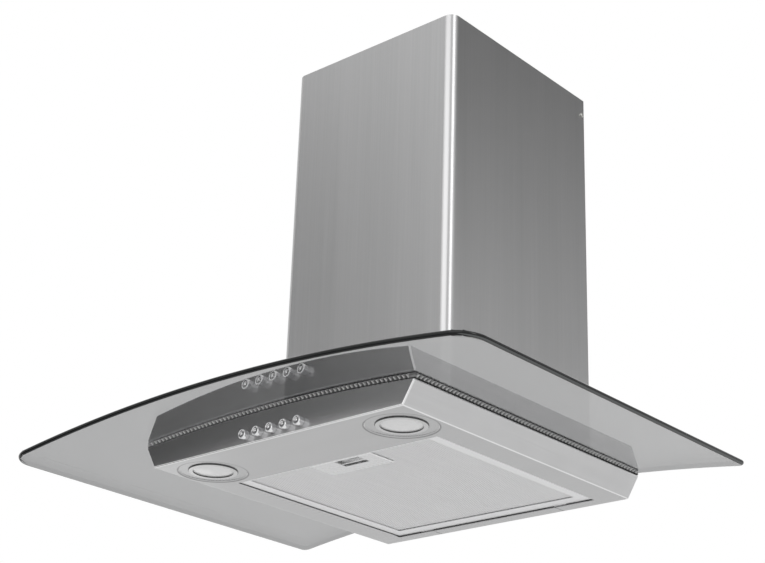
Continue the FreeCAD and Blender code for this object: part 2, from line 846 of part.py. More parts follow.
# ---------------------------------------------------------------- blower
def scroll_outline(inset, x):
    """Spiral outline with the outlet at the top rear, seen along X."""
    half = scroll_step / 2
    r1 = scroll_radius - inset
    r2 = r1 + scroll_step
    r3 = r2 + scroll_step
    centre_1 = V(x, fan_axis_y - half, fan_axis_z - half)
    centre_2 = V(x, fan_axis_y + half, fan_axis_z - half)
    centre_3 = V(x, fan_axis_y + half, fan_axis_z + half)

    def on(centre, radius, degrees):
        angle = math.radians(degrees)
        return centre + V(0, radius * math.cos(angle), radius * math.sin(angle))

    top_z = fan_box_under_top_z
    tongue = on(centre_1, r1, scroll_tongue_angle)
    mouth_front = V(x, scroll_mouth_front_y + inset, top_z)
    mouth_rear = V(x, on(centre_3, r3, 0).y, top_z)
    arcs = [
        Part.Arc(tongue, on(centre_1, r1, 120), on(centre_1, r1, 180)),
        Part.Arc(on(centre_2, r2, 180), on(centre_2, r2, 225), on(centre_2, r2, 270)),
        Part.Arc(on(centre_3, r3, 270), on(centre_3, r3, 315), on(centre_3, r3, 360)),
        Part.LineSegment(on(centre_3, r3, 0), mouth_rear),
        Part.LineSegment(mouth_rear, mouth_front),
        Part.LineSegment(mouth_front, tongue),
    ]
    return Part.Face(Part.Wire([arc.toShape() for arc in arcs]))


def motor_screw_places():
    """Three screws round the shaft, as places in Y and Z."""
    places = []
    for k in range(3):
        angle = math.radians(90 + 120 * k)
        places.append((fan_axis_y + motor_screw_circle * math.cos(angle),
                       fan_axis_z + motor_screw_circle * math.sin(angle)))
    return places


def blower_scroll():
    """Scroll closed on the motor side and open on the inlet side, flanged at its mouth."""
    half = scroll_half_width
    solid = scroll_outline(0, -half).extrude(V(2 * half, 0, 0))
    rear = scroll_rear_y + scroll_flange_y
    front = scroll_mouth_front_y - scroll_flange_y
    flange = box(-scroll_flange_half, scroll_flange_half, front, rear,
                 fan_box_under_top_z - scroll_wall, fan_box_under_top_z)
    hollow = scroll_outline(scroll_wall, -half).extrude(V(2 * half - scroll_wall, 0, 0))
    cuts = [hollow]
    cuts.append(rod(scroll_shaft_hole, 2 * scroll_wall,
                    V(half - 1.5 * scroll_wall, fan_axis_y, fan_axis_z), X))
    for y, z in motor_screw_places():
        cuts.append(rod(motor_screw_radius + screw_play, 2 * scroll_wall,
                        V(half - 1.5 * scroll_wall, y, z), X))
    for x, y in collar_screw_places():
        cuts.append(rod(screw_radius + screw_play, 2 * scroll_wall,
                        V(x, y, fan_box_under_top_z - scroll_wall), Z))
    return join([solid, flange]).cut(group(cuts))


def blower_inlet_plate():
    """Side plate on the inlet side, with a short ring that leads the air into the wheel."""
    start = -scroll_half_width - scroll_wall
    plate = scroll_outline(0, start).extrude(V(scroll_wall, 0, 0))
    plate = plate.cut(box(start - 1, 0, scroll_mouth_front_y * 2, 0,
                          fan_box_under_top_z - scroll_wall, fan_box_top_z))
    axis = V(start, fan_axis_y, fan_axis_z)
    plate = plate.cut(rod(inlet_radius, scroll_wall, axis, X))
    mouth = ring(inlet_radius + inlet_ring_wall, inlet_radius, inlet_ring_depth + scroll_wall, axis, X)
    return join([plate, mouth])


def impeller():
    """Wheel of forward-curved blades between a disc with the hub and an end ring."""
    right = wheel_half_width - wheel_side_play
    left = -wheel_half_width
    axis = V(0, fan_axis_y, fan_axis_z)
    disc = rod(wheel_radius, wheel_disc, axis + X * (right - wheel_disc), X)
    hub = rod(wheel_hub_radius, wheel_hub_length, axis + X * (right - wheel_hub_length), X)
    end_ring = ring(wheel_radius, wheel_radius - wheel_ring, wheel_disc, axis + X * left, X)
    blades = []
    length = right - left - wheel_disc / 2 - wheel_disc / 2
    tip = wheel_radius - blade_thickness
    for k in range(blade_count):
        angle = math.radians(360 * k / blade_count)
        lead = math.radians(6)
        inner = V(left + wheel_disc / 2, wheel_blade_inner * math.cos(angle),
                  wheel_blade_inner * math.sin(angle))
        outer = V(inner.x, tip * math.cos(angle + lead), tip * math.sin(angle + lead))
        side = V(0, -(outer - inner).z, (outer - inner).y).normalize()
        middle = (inner + outer) * 0.5 - side * blade_bulge
        skin = side * blade_thickness
        outline = Part.Wire([
            Part.Arc(inner, middle, outer).toShape(),
            Part.LineSegment(outer, outer + skin).toShape(),
            Part.Arc(outer + skin, middle + skin, inner + skin).toShape(),
            Part.LineSegment(inner + skin, inner).toShape(),
        ])
        blade = Part.Face(outline).extrude(V(length, 0, 0))
        blades.append(blade.translated(V(0, fan_axis_y, fan_axis_z)))
    wheel = join([disc, hub, end_ring] + blades)
    bore = rod(shaft_radius + shaft_play, 2 * wheel_half_width, axis - X * wheel_half_width, X)
    return wheel.cut(bore)


def motor_shaft():
    """Steel shaft from the motor into the hub."""
    start = wheel_half_width - wheel_side_play - wheel_hub_length - shaft_inner_end
    end = scroll_half_width + motor_length
    shaft = rod(shaft_radius, end - start, V(start, fan_axis_y, fan_axis_z), X)
    return shaft.makeChamfer(shaft_radius / 8, [e for e in shaft.Edges if e.Closed])


def motor_body():
    """Motor with a front flange and a rear boss, bored for the shaft."""
    axis = V(scroll_half_width, fan_axis_y, fan_axis_z)
    flange = rod(motor_flange_radius, motor_flange, axis, X)
    drum = rod(motor_radius, motor_length, axis + X * motor_flange, X)
    end_x = axis.x + motor_flange + motor_length
    rear = [e for e in drum.Edges if e.Closed and abs(e.BoundBox.XMin - end_x) < 1e-6]
    drum = drum.makeFillet(motor_boss, rear)
    boss = rod(motor_boss_radius, motor_boss, V(end_x, fan_axis_y, fan_axis_z), X)
    cuts = [rod(shaft_radius + shaft_play, motor_length + shaft_play, axis, X)]
    for y, z in motor_screw_places():
        cuts.append(rod(motor_screw_radius + screw_play, motor_flange, V(axis.x, y, z), X))
    for y, z in motor_screw_places():
        cuts.append(rod(motor_screw_radius * screw_head_radius / screw_radius + screw_play,
                        motor_length, V(axis.x + motor_flange, y, z), X))
    return join([flange, drum, boss]).cut(group(cuts))


def motor_screws():
    """Three screws that hold the motor to the scroll."""
    seat_x = scroll_half_width + motor_flange
    return group([pan_screw(V(seat_x, y, z), -X, motor_flange + scroll_wall, motor_screw_radius)
                  for y, z in motor_screw_places()])


# ---------------------------------------------------------------- electrical pieces
def capacitor_axis():
    """Foot of the capacitor, beside the right wall of the fan box."""
    x = fan_box_half - sheet - clip_wall - capacitor_play - capacitor_radius
    return V(x, capacitor_y, capacitor_bottom_z)


def capacitor():
    """Round motor capacitor standing against the side of the fan box."""
    body = rod(capacitor_radius, capacitor_length, capacitor_axis(), Z)
    return body.makeFillet(1.0, [e for e in body.Edges if e.Closed])


def capacitor_clip():
    """Spring band round the capacitor with a foot on the side of the fan box."""
    base = capacitor_axis() + Z * (capacitor_length - clip_height) * 0.5
    inner = capacitor_radius + capacitor_play
    band = ring(inner + clip_wall, inner, clip_height, base, Z)
    gap = box(base.x - 2 * inner, base.x, base.y - inner / 3, base.y + inner / 3,
              base.z, base.z + clip_height)
    wall_x = fan_box_half - sheet
    foot = box(wall_x - clip_wall, wall_x, base.y - inner, base.y + inner,
               base.z, base.z + clip_height)
    return join([band.cut(gap), foot])


def terminal_box():
    """Plastic box under the top of the fan box, open below."""
    x0 = terminal_left_x
    x1 = terminal_right_x
    y1 = terminal_back_y
    y0 = y1 - terminal_size_y
    z1 = fan_box_under_top_z
    z0 = z1 - terminal_size_z
    t = terminal_wall
    shell = box(x0, x1, y0, y1, z0, z1).cut(box(x0 + t, x1 - t, y0 + t, y1 - t, z0, z1 - t))
    return shell.cut(rod(gland_radius + screw_play, 2 * t, V(gland_x, gland_y, z1 - 1.5 * t), Z))


def terminal_cover():
    """Lid under the terminal box, with a rim that plugs into it."""
    x0 = terminal_left_x
    x1 = terminal_right_x
    y1 = terminal_back_y
    y0 = y1 - terminal_size_y
    z0 = fan_box_under_top_z - terminal_size_z
    t = terminal_wall
    lid = box(x0, x1, y0, y1, z0 - t, z0)
    outside = t + screw_play
    inside = outside + t
    plug = box(x0 + outside, x1 - outside, y0 + outside, y1 - outside, z0, z0 + 2 * t)
    hollow = box(x0 + inside, x1 - inside, y0 + inside, y1 - inside, z0, z0 + 2 * t)
    return join([lid, plug.cut(hollow)])


def terminal_block():
    """Connector strip on the lid of the terminal box."""
    x0 = terminal_left_x + terminal_wall + block_side_gap
    x1 = terminal_right_x - terminal_wall - block_side_gap
    y0 = terminal_back_y - terminal_size_y + terminal_wall + block_front_gap
    y1 = y0 + block_size_y
    z0 = fan_box_under_top_z - terminal_size_z
    z1 = z0 + block_size_z
    block = box(x0, x1, y0, y1, z0, z1)
    holes = []
    for way in range(block_ways):
        x = x0 + (x1 - x0) * (way + 0.5) / block_ways
        holes.append(rod(block_hole_radius, block_hole_depth,
                         V(x, (y0 + y1) / 2, z1 - block_hole_depth), Z))
    return block.cut(group(holes))


def cable_gland():
    """Gland in the top of the fan box, where the supply cable goes in."""
    base = V(gland_x, gland_y, fan_box_top_z)
    stem = rod(gland_radius, gland_above + gland_below, base - Z * gland_below, Z)
    corners = [(V(base.x + gland_collar_radius * math.cos(math.radians(60 * k)),
                  base.y + gland_collar_radius * math.sin(math.radians(60 * k)), base.z), 0)
               for k in range(6)]
    collar = rounded_face(corners).extrude(Z * gland_collar_height)
    bore = rod(gland_bore_radius, gland_above + gland_below, base - Z * gland_below, Z)
    return join([stem, collar]).cut(bore)


# ---------------------------------------------------------------- outlet collar and flaps
def outlet_spigot():
    """Round collar for the duct, with a ledge that the closed flaps lie on."""
    base = V(0, collar_y, fan_box_top_z)
    inner = collar_radius - collar_wall
    flange = ring(collar_flange_radius, inner, collar_flange, base, Z)
    tube = ring(collar_radius, inner, collar_flange + collar_height, base, Z)
    ledge_top = flap_z - flap_thickness / 2 - flap_ledge_play
    ledge = ring(inner + 0.1, inner - flap_ledge, flap_ledge_height,
                 V(0, collar_y, ledge_top - flap_ledge_height), Z)
    reach = flap_knuckle_radius + flap_knuckle_play
    ledge = ledge.cut(box(-reach, reach, collar_y - collar_radius, collar_y + collar_radius,
                          ledge_top - flap_ledge_height, ledge_top))
    cuts = [rod(flap_pin_radius + flap_pin_play, 2 * collar_radius,
                V(0, collar_y - collar_radius, flap_z), Y)]
    for x, y in collar_screw_places():
        cuts.append(rod(screw_radius + screw_play, collar_flange, V(x, y, fan_box_top_z), Z))
    return join([flange, tube, ledge]).cut(group(cuts))


def outlet_screws():
    """Four screws through the collar, the fan box and the scroll's flange."""
    length = collar_flange + sheet + scroll_wall + 1.0
    return group([pan_screw(V(x, y, fan_box_top_z + collar_flange), -Z, length)
                  for x, y in collar_screw_places()])


def flap_pin():
    """Pin across the collar that both flaps turn on."""
    length = 2 * collar_radius - 1.0
    return rod(flap_pin_radius, length, V(0, collar_y - length / 2, flap_z), Y)


def flap(side):
    """Half disc with knuckles on the pin: side -1 is the left flap, 1 the right one."""
    radius = collar_radius - collar_wall - flap_edge_play
    start = flap_knuckle_radius + flap_knuckle_play
    low = flap_z - flap_thickness / 2
    disc = rod(radius, flap_thickness, V(0, collar_y, low), Z)
    keep = box(min(side * start, side * 2 * radius), max(side * start, side * 2 * radius),
               collar_y - radius, collar_y + radius, low, low + flap_thickness)
    pieces = [disc.common(keep)]
    span = 2 * (radius - 4 * flap_knuckle_play - flap_knuckle_radius)
    each = span / flap_knuckles
    for k in range(flap_knuckles):
        if (k % 2 == 0) != (side < 0):
            continue
        y0 = collar_y - span / 2 + k * each + flap_knuckle_play / 2
        length = each - flap_knuckle_play
        pieces.append(rod(flap_knuckle_radius, length, V(0, y0, flap_z), Y))
        web_end = side * (start + 1)
        pieces.append(box(min(0, web_end), max(0, web_end), y0, y0 + length,
                          low, low + flap_thickness))
    bore = rod(flap_pin_radius + flap_pin_play, 2 * collar_radius,
               V(0, collar_y - collar_radius, flap_z), Y)
    return join(pieces).cut(bore)


# ---------------------------------------------------------------- chimney
def chimney_lower():
    """Outer cover, bent from one sheet, open at the wall, its foot cut to the arch."""
    half = chimney_half
    low = -glass_sagitta
    outer = rounded_block(-half, half, -chimney_depth, 0, low, chimney_top_z,
                          chimney_bend, 2 * sheet)
    inner = rounded_block(-half + sheet, half - sheet, -chimney_depth + sheet, -sheet,
                          low, chimney_top_z, chimney_bend - sheet, sheet)
    opening = half - chimney_return
    cover = outer.cut(inner).cut(box(-opening, opening, -2 * sheet, sheet, low, chimney_top_z))
    tabs = []
    tab_top = inner_chimney_bottom_z - stop_tab_play
    for y in stop_tab_ys:
        for side in (-1, 1):
            wall = half - sheet
            tab = box(wall - stop_tab_reach, wall, y - stop_tab_length / 2,
                      y + stop_tab_length / 2, tab_top - 2 * sheet, tab_top)
            tabs.append(tab if side > 0 else mirrored(tab))
    foot = arch_radius + glass_thickness + chimney_glass_play
    arch = rod(foot, chimney_depth + 2, V(0, -chimney_depth - 1, arch_axis_z), Y)
    holes = []
    for side in (-1, 1):
        hole = rod(chimney_screw_radius + screw_play, 3 * sheet,
                   V(half - 2 * sheet, chimney_screw_y, bracket_z), X)
        holes.append(hole if side > 0 else mirrored(hole))
    return cover.cut(arch).multiFuse(tabs).cut(group(holes))


def chimney_upper():
    """Telescopic cover inside the outer one, with three walls."""
    half = inner_chimney_half
    front = inner_chimney_front_y
    top = chimney_top_z - inner_chimney_top_drop
    bend = chimney_bend - sheet
    outer = rounded_block(-half, half, front, inner_chimney_rear_y,
                          inner_chimney_bottom_z, top, bend, 0)
    inner = rounded_block(-half + sheet, half - sheet, front + sheet, inner_chimney_rear_y + 1,
                          inner_chimney_bottom_z, top, bend - sheet, 0)
    return outer.cut(inner)


def chimney_bracket():
    """Strap on the wall whose ends step forward and bend along the chimney's sides."""
    t = bracket_thickness
    z0 = bracket_z - bracket_height / 2
    z1 = bracket_z + bracket_height / 2
    half = bracket_half_width
    side_x = chimney_half - sheet - bracket_side_play
    wing_front = -bracket_offset - t
    pieces = [box(-half, half, -t, 0, z0, z1)]
    for side in (-1, 1):
        leg = box(half - t, half, wing_front, 0, z0, z1)
        wing = box(half - t, side_x, wing_front, -bracket_offset, z0, z1)
        tab = box(side_x - t, side_x, -bracket_offset - bracket_tab, -bracket_offset, z0, z1)
        for piece in (leg, wing, tab):
            pieces.append(piece if side > 0 else mirrored(piece))
    cuts = []
    for side in (-1, 1):
        cuts.append(rod(bracket_hole_radius, 2 * t, V(side * bracket_hole_x, -2 * t, bracket_z), Y))
        hole = rod(chimney_screw_radius + screw_play, 3 * t,
                   V(side_x - 2 * t, chimney_screw_y, bracket_z), X)
        cuts.append(hole if side > 0 else mirrored(hole))
    return join(pieces).cut(group(cuts))


def chimney_screws():
    """Two screws through the sides of the outer chimney into the bracket."""
    right = pan_screw(V(chimney_half, chimney_screw_y, bracket_z), -X, chimney_screw_length,
                      chimney_screw_radius)
    return group([mirrored(right), right])


# ---------------------------------------------------------------- grease filter
def finger_slot_box(grow):
    """Room of the finger slot, grown on all sides but its open bottom."""
    half = finger_slot_width / 2 + grow
    z0 = filter_bottom_z + latch_plate_thickness
    return box(finger_slot_x - half, finger_slot_x + half, finger_slot_front_y - grow,
               finger_slot_front_y + finger_slot_length + grow,
               filter_bottom_z - grow, z0 + finger_slot_depth + grow)


def latch_bar_z():
    """Underside of the latch bar, near the roof of the finger slot."""
    roof = filter_bottom_z + latch_plate_thickness + finger_slot_depth
    return roof - latch_play - latch_thickness


def latch_bar_box(grow):
    """Room of the latch bar, which reaches forward out of the filter frame."""
    half = latch_width / 2 + grow
    tip = filter_opening_front_y + latch_tip_gap
    return box(finger_slot_x - half, finger_slot_x + half, tip - grow, latch_lip_y + grow,
               latch_bar_z() - grow, latch_bar_z() + latch_thickness + grow)


def filter_frame():
    """Aluminium channel round the filter, with two lugs at the rear that it hangs on."""
    w = filter_wall
    outer = box(-filter_half, filter_half, filter_front_y, filter_back_y,
                filter_bottom_z, filter_top_z)
    channel = box(-filter_half + w, filter_half - w, filter_front_y + w, filter_back_y - w,
                  filter_bottom_z + w, filter_top_z - w)
    window = box(-filter_half + filter_lip_side, filter_half - filter_lip_side,
                 filter_front_y + filter_lip_front, filter_back_y - filter_lip_rear,
                 filter_bottom_z, filter_top_z)
    lug_z = casing_bottom_z + sheet + lug_play
    lugs = []
    for side in (-1, 1):
        lugs.append(box(side * lug_x - lug_width / 2, side * lug_x + lug_width / 2,
                        filter_back_y - w, filter_back_y + lug_length, lug_z, lug_z + lug_thickness))
    frame = join([outer] + lugs).cut(channel).cut(window)
    return frame.cut(latch_bar_box(latch_play))


def filter_inset():
    """How far the layers of the filter stay inside the frame's outside."""
    return filter_wall + filter_sheet_play


def latch_room(z0, z1):
    """Room that a layer leaves for the finger slot and the bar in front of it."""
    half = finger_slot_width / 2 + finger_slot_wall + latch_play
    back = finger_slot_front_y + finger_slot_length + finger_slot_wall + latch_play
    return box(finger_slot_x - half, finger_slot_x + half, filter_front_y, back, z0, z1)


def filter_sheet_piece(z0):
    """One flat mesh sheet inside the channel."""
    inset = filter_inset()
    return box(-filter_half + inset, filter_half - inset, filter_front_y + inset,
               filter_back_y - inset, z0, z0 + filter_sheet)


def filter_sheet_lower(z0):
    """Lower mesh sheet, notched for the finger slot."""
    return filter_sheet_piece(z0).cut(latch_room(z0, z0 + filter_sheet))


def filter_core(z0, z1):
    """Pleated mesh between the two sheets, folded along lines that run front to back."""
    inset = filter_inset()
    half = filter_half - inset
    folds = int(2 * half / pleat_pitch) * 2
    run = 2 * half / folds
    rise = z1 - z0 - pleat_sheet
    y0 = filter_front_y + inset
    lower = [V(-half + run * k, y0, z0 + rise * (k % 2)) for k in range(folds + 1)]
    upper = [point + Z * pleat_sheet for point in reversed(lower)]
    outline = Part.Wire(Part.makePolygon(lower + upper + lower[:1]))
    core = Part.Face(outline).extrude(V(0, filter_back_y - inset - y0, 0))
    return core.cut(latch_room(z0, z1))


def layer_heights():
    """Heights of the two mesh sheets and the core between them."""
    low = filter_bottom_z + filter_wall + filter_sheet_play
    high = filter_top_z - filter_wall - filter_sheet_play
    core_low = low + filter_sheet + filter_sheet_play
    core_high = high - filter_sheet - filter_sheet_play
    return low, core_low, core_high, high


def latch_plate():
    """Plate over the mesh at the front of the filter, with the finger slot pressed in."""
    half = latch_plate_width / 2
    front = filter_front_y + filter_lip_front + filter_sheet_play
    z0 = filter_bottom_z
    plate = box(latch_plate_x - half, latch_plate_x + half, front, front + latch_plate_depth,
                z0, z0 + latch_plate_thickness)
    cup = finger_slot_box(finger_slot_wall)
    below = box(-filter_half, filter_half, filter_front_y, filter_back_y,
                z0 - 2 * finger_slot_wall, z0)
    solid = join([plate, cup.cut(below)]).cut(finger_slot_box(0))
    return solid.cut(latch_bar_box(latch_play))


def filter_latch():
    """Sliding bar with a finger lip inside the slot."""
    bar = latch_bar_box(0)
    half = finger_slot_width / 2 - latch_play
    lip = box(finger_slot_x - half, finger_slot_x + half, latch_lip_y, latch_lip_y + latch_lip,
              filter_bottom_z + latch_play, latch_bar_z() + latch_thickness)
    return join([bar, lip])


def latch_spring():
    """Spring between the finger lip and the rear wall of the slot."""
    start_y = latch_lip_y + latch_lip + spring_end_gap
    end_y = finger_slot_front_y + finger_slot_length - spring_end_gap
    z = filter_bottom_z + latch_plate_thickness + finger_slot_depth / 2
    return coil(latch_spring_radius, latch_spring_wire, end_y - start_y, latch_spring_turns,
                V(finger_slot_x, start_y, z), Y)


# ---------------------------------------------------------------- lamps
def lamp_ring(side):
    """Trim ring with a tube that holds the lens inside the can."""
    base = V(side * lamp_x, lamp_y, dish_floor_z)
    flange = ring(lamp_ring_radius, lamp_ring_opening, lamp_ring_thickness,
                  base - Z * lamp_ring_thickness, Z)
    outside = [e for e in flange.Edges if e.Closed and e.BoundBox.ZMax < base.z - 1e-6
               and e.BoundBox.XLength > 2 * lamp_ring_radius - 1e-6]
    flange = flange.makeChamfer(lamp_ring_thickness * 0.6, outside)
    tube = ring(lamp_ring_tube_radius, lamp_ring_tube_radius - lamp_ring_tube_wall,
                lamp_ring_tube_height, base - Z * lamp_ring_thickness / 2, Z)
    return join([flange, tube])


def lamp_lens(side):
    """Frosted lens: a flat disc behind the ring and a shallow dome through it."""
    disc_radius = lamp_ring_tube_radius - lamp_ring_tube_wall - lens_play
    dome_radius = lamp_ring_opening - lens_play
    seat = V(side * lamp_x, lamp_y, dish_floor_z + lens_play)
    disc = rod(disc_radius, lens_thickness, seat, Z)
    rise = lamp_ring_thickness
    ball = (dome_radius ** 2 + rise ** 2) / (2 * rise)
    sphere = Part.makeSphere(ball, seat + Z * (ball - rise))
    slice_ = rod(dome_radius, 2 * rise, seat - Z * rise, Z)
    return join([disc, sphere.common(slice_)])


def lamp_can(side):
    """Thin steel can above the lens, with two wings that rest on the casing."""
    centre = V(side * lamp_x, lamp_y, dish_top_z)
    height = can_top_z - dish_top_z
    can = rod(can_radius, height, centre, Z)
    can = can.cut(rod(can_radius - can_wall, height - can_wall, centre, Z))
    can = can.cut(rod(bulb_base_radius / 2, can_wall, V(centre.x, centre.y, can_top_z - can_wall), Z))
    wings = []
    for way in (-1, 1):
        near = centre.y + way * (can_radius - can_wall / 2)
        far = centre.y + way * (can_radius + can_wing)
        wings.append(box(centre.x - can_wing_width / 2, centre.x + can_wing_width / 2,
                         min(near, far), max(near, far), dish_top_z, dish_top_z + can_wall))
    return join([can] + wings)


def lamp_bulb(side):
    """Small lamp hanging from the roof of the can."""
    top = V(side * lamp_x, lamp_y, can_top_z - can_wall)
    base = rod(bulb_base_radius, bulb_base_height, top - Z * bulb_base_height, Z)
    ball = Part.makeSphere(bulb_radius, top - Z * (bulb_base_height + bulb_radius / 4))
    return join([base, ball])


# ---------------------------------------------------------------- buttons
def button(number):
    """Round chrome button on a stem."""
    tip = V(button_x(number), button_tip_y, button_z)
    cap = rod(button_radius, button_shoulder_y - button_tip_y, tip, Y)
    front = [e for e in cap.Edges if e.Closed and abs(e.BoundBox.YMin - tip.y) < 1e-6]
    cap = cap.makeFillet(button_dome, front)
    stem = rod(button_stem_radius, button_stem_length, V(tip.x, button_shoulder_y, tip.z), Y)
    return join([cap, stem])


def switch_block():
    """Plastic block behind the panel that guides the buttons and holds the contacts."""
    block = box(button_centre_x - block_half, button_centre_x + block_half,
                block_front_y, block_front_y + block_depth, block_bottom_z, deck_bottom_z)
    cuts = []
    for number in range(1, button_count + 1):
        x = button_x(number)
        cuts.append(rod(button_radius + button_play, block_step, V(x, block_front_y, button_z), Y))
        stem_end = button_shoulder_y + button_stem_length + 2 * button_travel
        cuts.append(rod(button_stem_radius + button_play, stem_end - block_step_y,
                        V(x, block_step_y, button_z), Y))
    for x, y in switch_screw_places():
        cuts.append(rod(screw_radius + screw_play, switch_screw_length,
                        V(x, y, deck_bottom_z - switch_screw_length), Z))
    return block.cut(group(cuts))


def switch_screws():
    """Two screws that hang the switch block under the deck."""
    return group([pan_screw(V(x, y, deck_top_z), -Z, switch_screw_length)
                  for x, y in switch_screw_places()])


def button_spring(number):
    """Return spring behind a button, round its stem."""
    start = V(button_x(number), button_shoulder_y + spring_end_gap, button_z)
    length = block_step_y - button_shoulder_y - 2 * spring_end_gap
    return coil(button_spring_radius, button_spring_wire, length, button_spring_turns, start, Y)


# ---------------------------------------------------------------- the whole hood
def build():
    """Write every node of the hood."""
    os.makedirs("parts", exist_ok=True)
    low, core_low, core_high, high = layer_heights()
    nodes = {
        "glass_canopy": glass_canopy(),
        "glass_seal": glass_seal(),
        "glass_bolts": glass_bolts(),
        "glass_washers": glass_washers(),
        "glass_nuts": glass_nuts(),
        "hood_casing": hood_casing(),
        "deck_plate": deck_plate(),
        "deck_screws": deck_screws(),
        "fan_box": fan_box(),
        "fan_box_lid": fan_box_lid(),
        "hanging_plate": hanging_plate(),
        "hanger_rivets": hanger_rivets(),
        "blower_scroll": blower_scroll(),
        "blower_inlet_plate": blower_inlet_plate(),
        "impeller": impeller(),
        "motor_shaft": motor_shaft(),
        "motor_body": motor_body(),
        "motor_screws": motor_screws(),
        "capacitor": capacitor(),
        "capacitor_clip": capacitor_clip(),
        "terminal_box": terminal_box(),
        "terminal_cover": terminal_cover(),
        "terminal_block": terminal_block(),
        "cable_gland": cable_gland(),
        "outlet_spigot": outlet_spigot(),
        "outlet_screws": outlet_screws(),
        "flap_pin": flap_pin(),
        "flap_left": flap(-1),
        "flap_right": flap(1),
        "chimney_lower": chimney_lower(),
        "chimney_upper": chimney_upper(),
        "chimney_bracket": chimney_bracket(),
        "chimney_screws": chimney_screws(),
        "filter_frame": filter_frame(),
        "filter_sheet_lower": filter_sheet_lower(low),
        "filter_core": filter_core(core_low, core_high),
        "filter_sheet_upper": filter_sheet_piece(high - filter_sheet),
        "latch_plate": latch_plate(),
        "filter_latch": filter_latch(),
        "latch_spring": latch_spring(),
        "switch_block": switch_block(),
        "switch_screws": switch_screws(),
    }
    for side, word in ((-1, "left"), (1, "right")):
        nodes["lamp_ring_" + word] = lamp_ring(side)
        nodes["lamp_lens_" + word] = lamp_lens(side)
        nodes["lamp_can_" + word] = lamp_can(side)
        nodes["lamp_bulb_" + word] = lamp_bulb(side)
    for number in range(1, button_count + 1):
        nodes["button_%d" % number] = button(number)
        nodes["button_spring_%d" % number] = button_spring(number)
    for node, shape in nodes.items():
        save(node, shape)


build()
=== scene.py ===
import math

import bmesh
import bpy
from mathutils import Matrix, Vector


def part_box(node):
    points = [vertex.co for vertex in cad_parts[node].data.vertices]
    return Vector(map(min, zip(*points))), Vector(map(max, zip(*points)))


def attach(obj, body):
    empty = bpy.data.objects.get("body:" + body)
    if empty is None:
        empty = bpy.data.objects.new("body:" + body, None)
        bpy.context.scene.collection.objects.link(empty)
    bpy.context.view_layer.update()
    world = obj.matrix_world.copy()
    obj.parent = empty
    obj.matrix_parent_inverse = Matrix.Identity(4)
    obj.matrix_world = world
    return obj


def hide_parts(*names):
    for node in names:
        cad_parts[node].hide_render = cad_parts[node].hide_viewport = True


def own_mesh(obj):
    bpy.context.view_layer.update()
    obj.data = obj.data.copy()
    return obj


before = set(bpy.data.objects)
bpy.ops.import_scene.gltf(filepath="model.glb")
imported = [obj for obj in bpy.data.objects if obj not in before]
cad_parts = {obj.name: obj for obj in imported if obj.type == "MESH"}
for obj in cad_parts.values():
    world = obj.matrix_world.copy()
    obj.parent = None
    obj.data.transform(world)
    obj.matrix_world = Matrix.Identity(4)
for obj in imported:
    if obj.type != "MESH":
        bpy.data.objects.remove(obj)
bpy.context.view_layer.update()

# ---------------------------------------------------------------- casing
# Folded from one sheet of brushed stainless steel: front panel, leaning sides and an underside
# with the filter opening and two pressed lamp seats. The grain runs along each fold.


class Amount:
    """A number that changes over a surface. Arithmetic on it adds the Math nodes."""

    def __init__(self, recipe, socket):
        self.recipe = recipe
        self.socket = socket

    def math(self, operation, *terms):
        made = self.recipe.node("ShaderNodeMath", {"operation": operation}, dict(enumerate(terms)))
        return Amount(self.recipe, made.outputs[0])

    def __add__(self, other):
        return self.math("ADD", self, other)

    def __radd__(self, other):
        return self.math("ADD", other, self)

    def __sub__(self, other):
        return self.math("SUBTRACT", self, other)

    def __rsub__(self, other):
        return self.math("SUBTRACT", other, self)

    def __mul__(self, other):
        return self.math("MULTIPLY", self, other)

    def __rmul__(self, other):
        return self.math("MULTIPLY", other, self)

    def __gt__(self, other):
        return self.math("GREATER_THAN", self, other)

    def size(self):
        return self.math("ABSOLUTE", self)

    def power(self, exponent):
        return self.math("POWER", self, exponent)

    def at_least(self, other):
        return self.math("MAXIMUM", self, other)

    def between(self, first, last):
        """Rises from 0 at first to 1 at last, and stays there."""
        made = self.recipe.node("ShaderNodeMapRange", {"clamp": True},
                                {0: self, 1: first, 2: last})
        return Amount(self.recipe, made.outputs[0])


class Recipe:
    """A node tree."""

    def __init__(self, tree):
        self.tree = tree

    def node(self, kind, settings=None, inputs=None):
        """A node of any type: its settings first, then the values or links of its sockets."""
        made = self.tree.nodes.new(kind)
        for key, value in (settings or {}).items():
            setattr(made, key, value)
        for key, value in (inputs or {}).items():
            if isinstance(value, Amount):
                self.tree.links.new(value.socket, made.inputs[key])
            elif isinstance(value, bpy.types.NodeSocket):
                self.tree.links.new(value, made.inputs[key])
            else:
                made.inputs[key].default_value = value
        return made


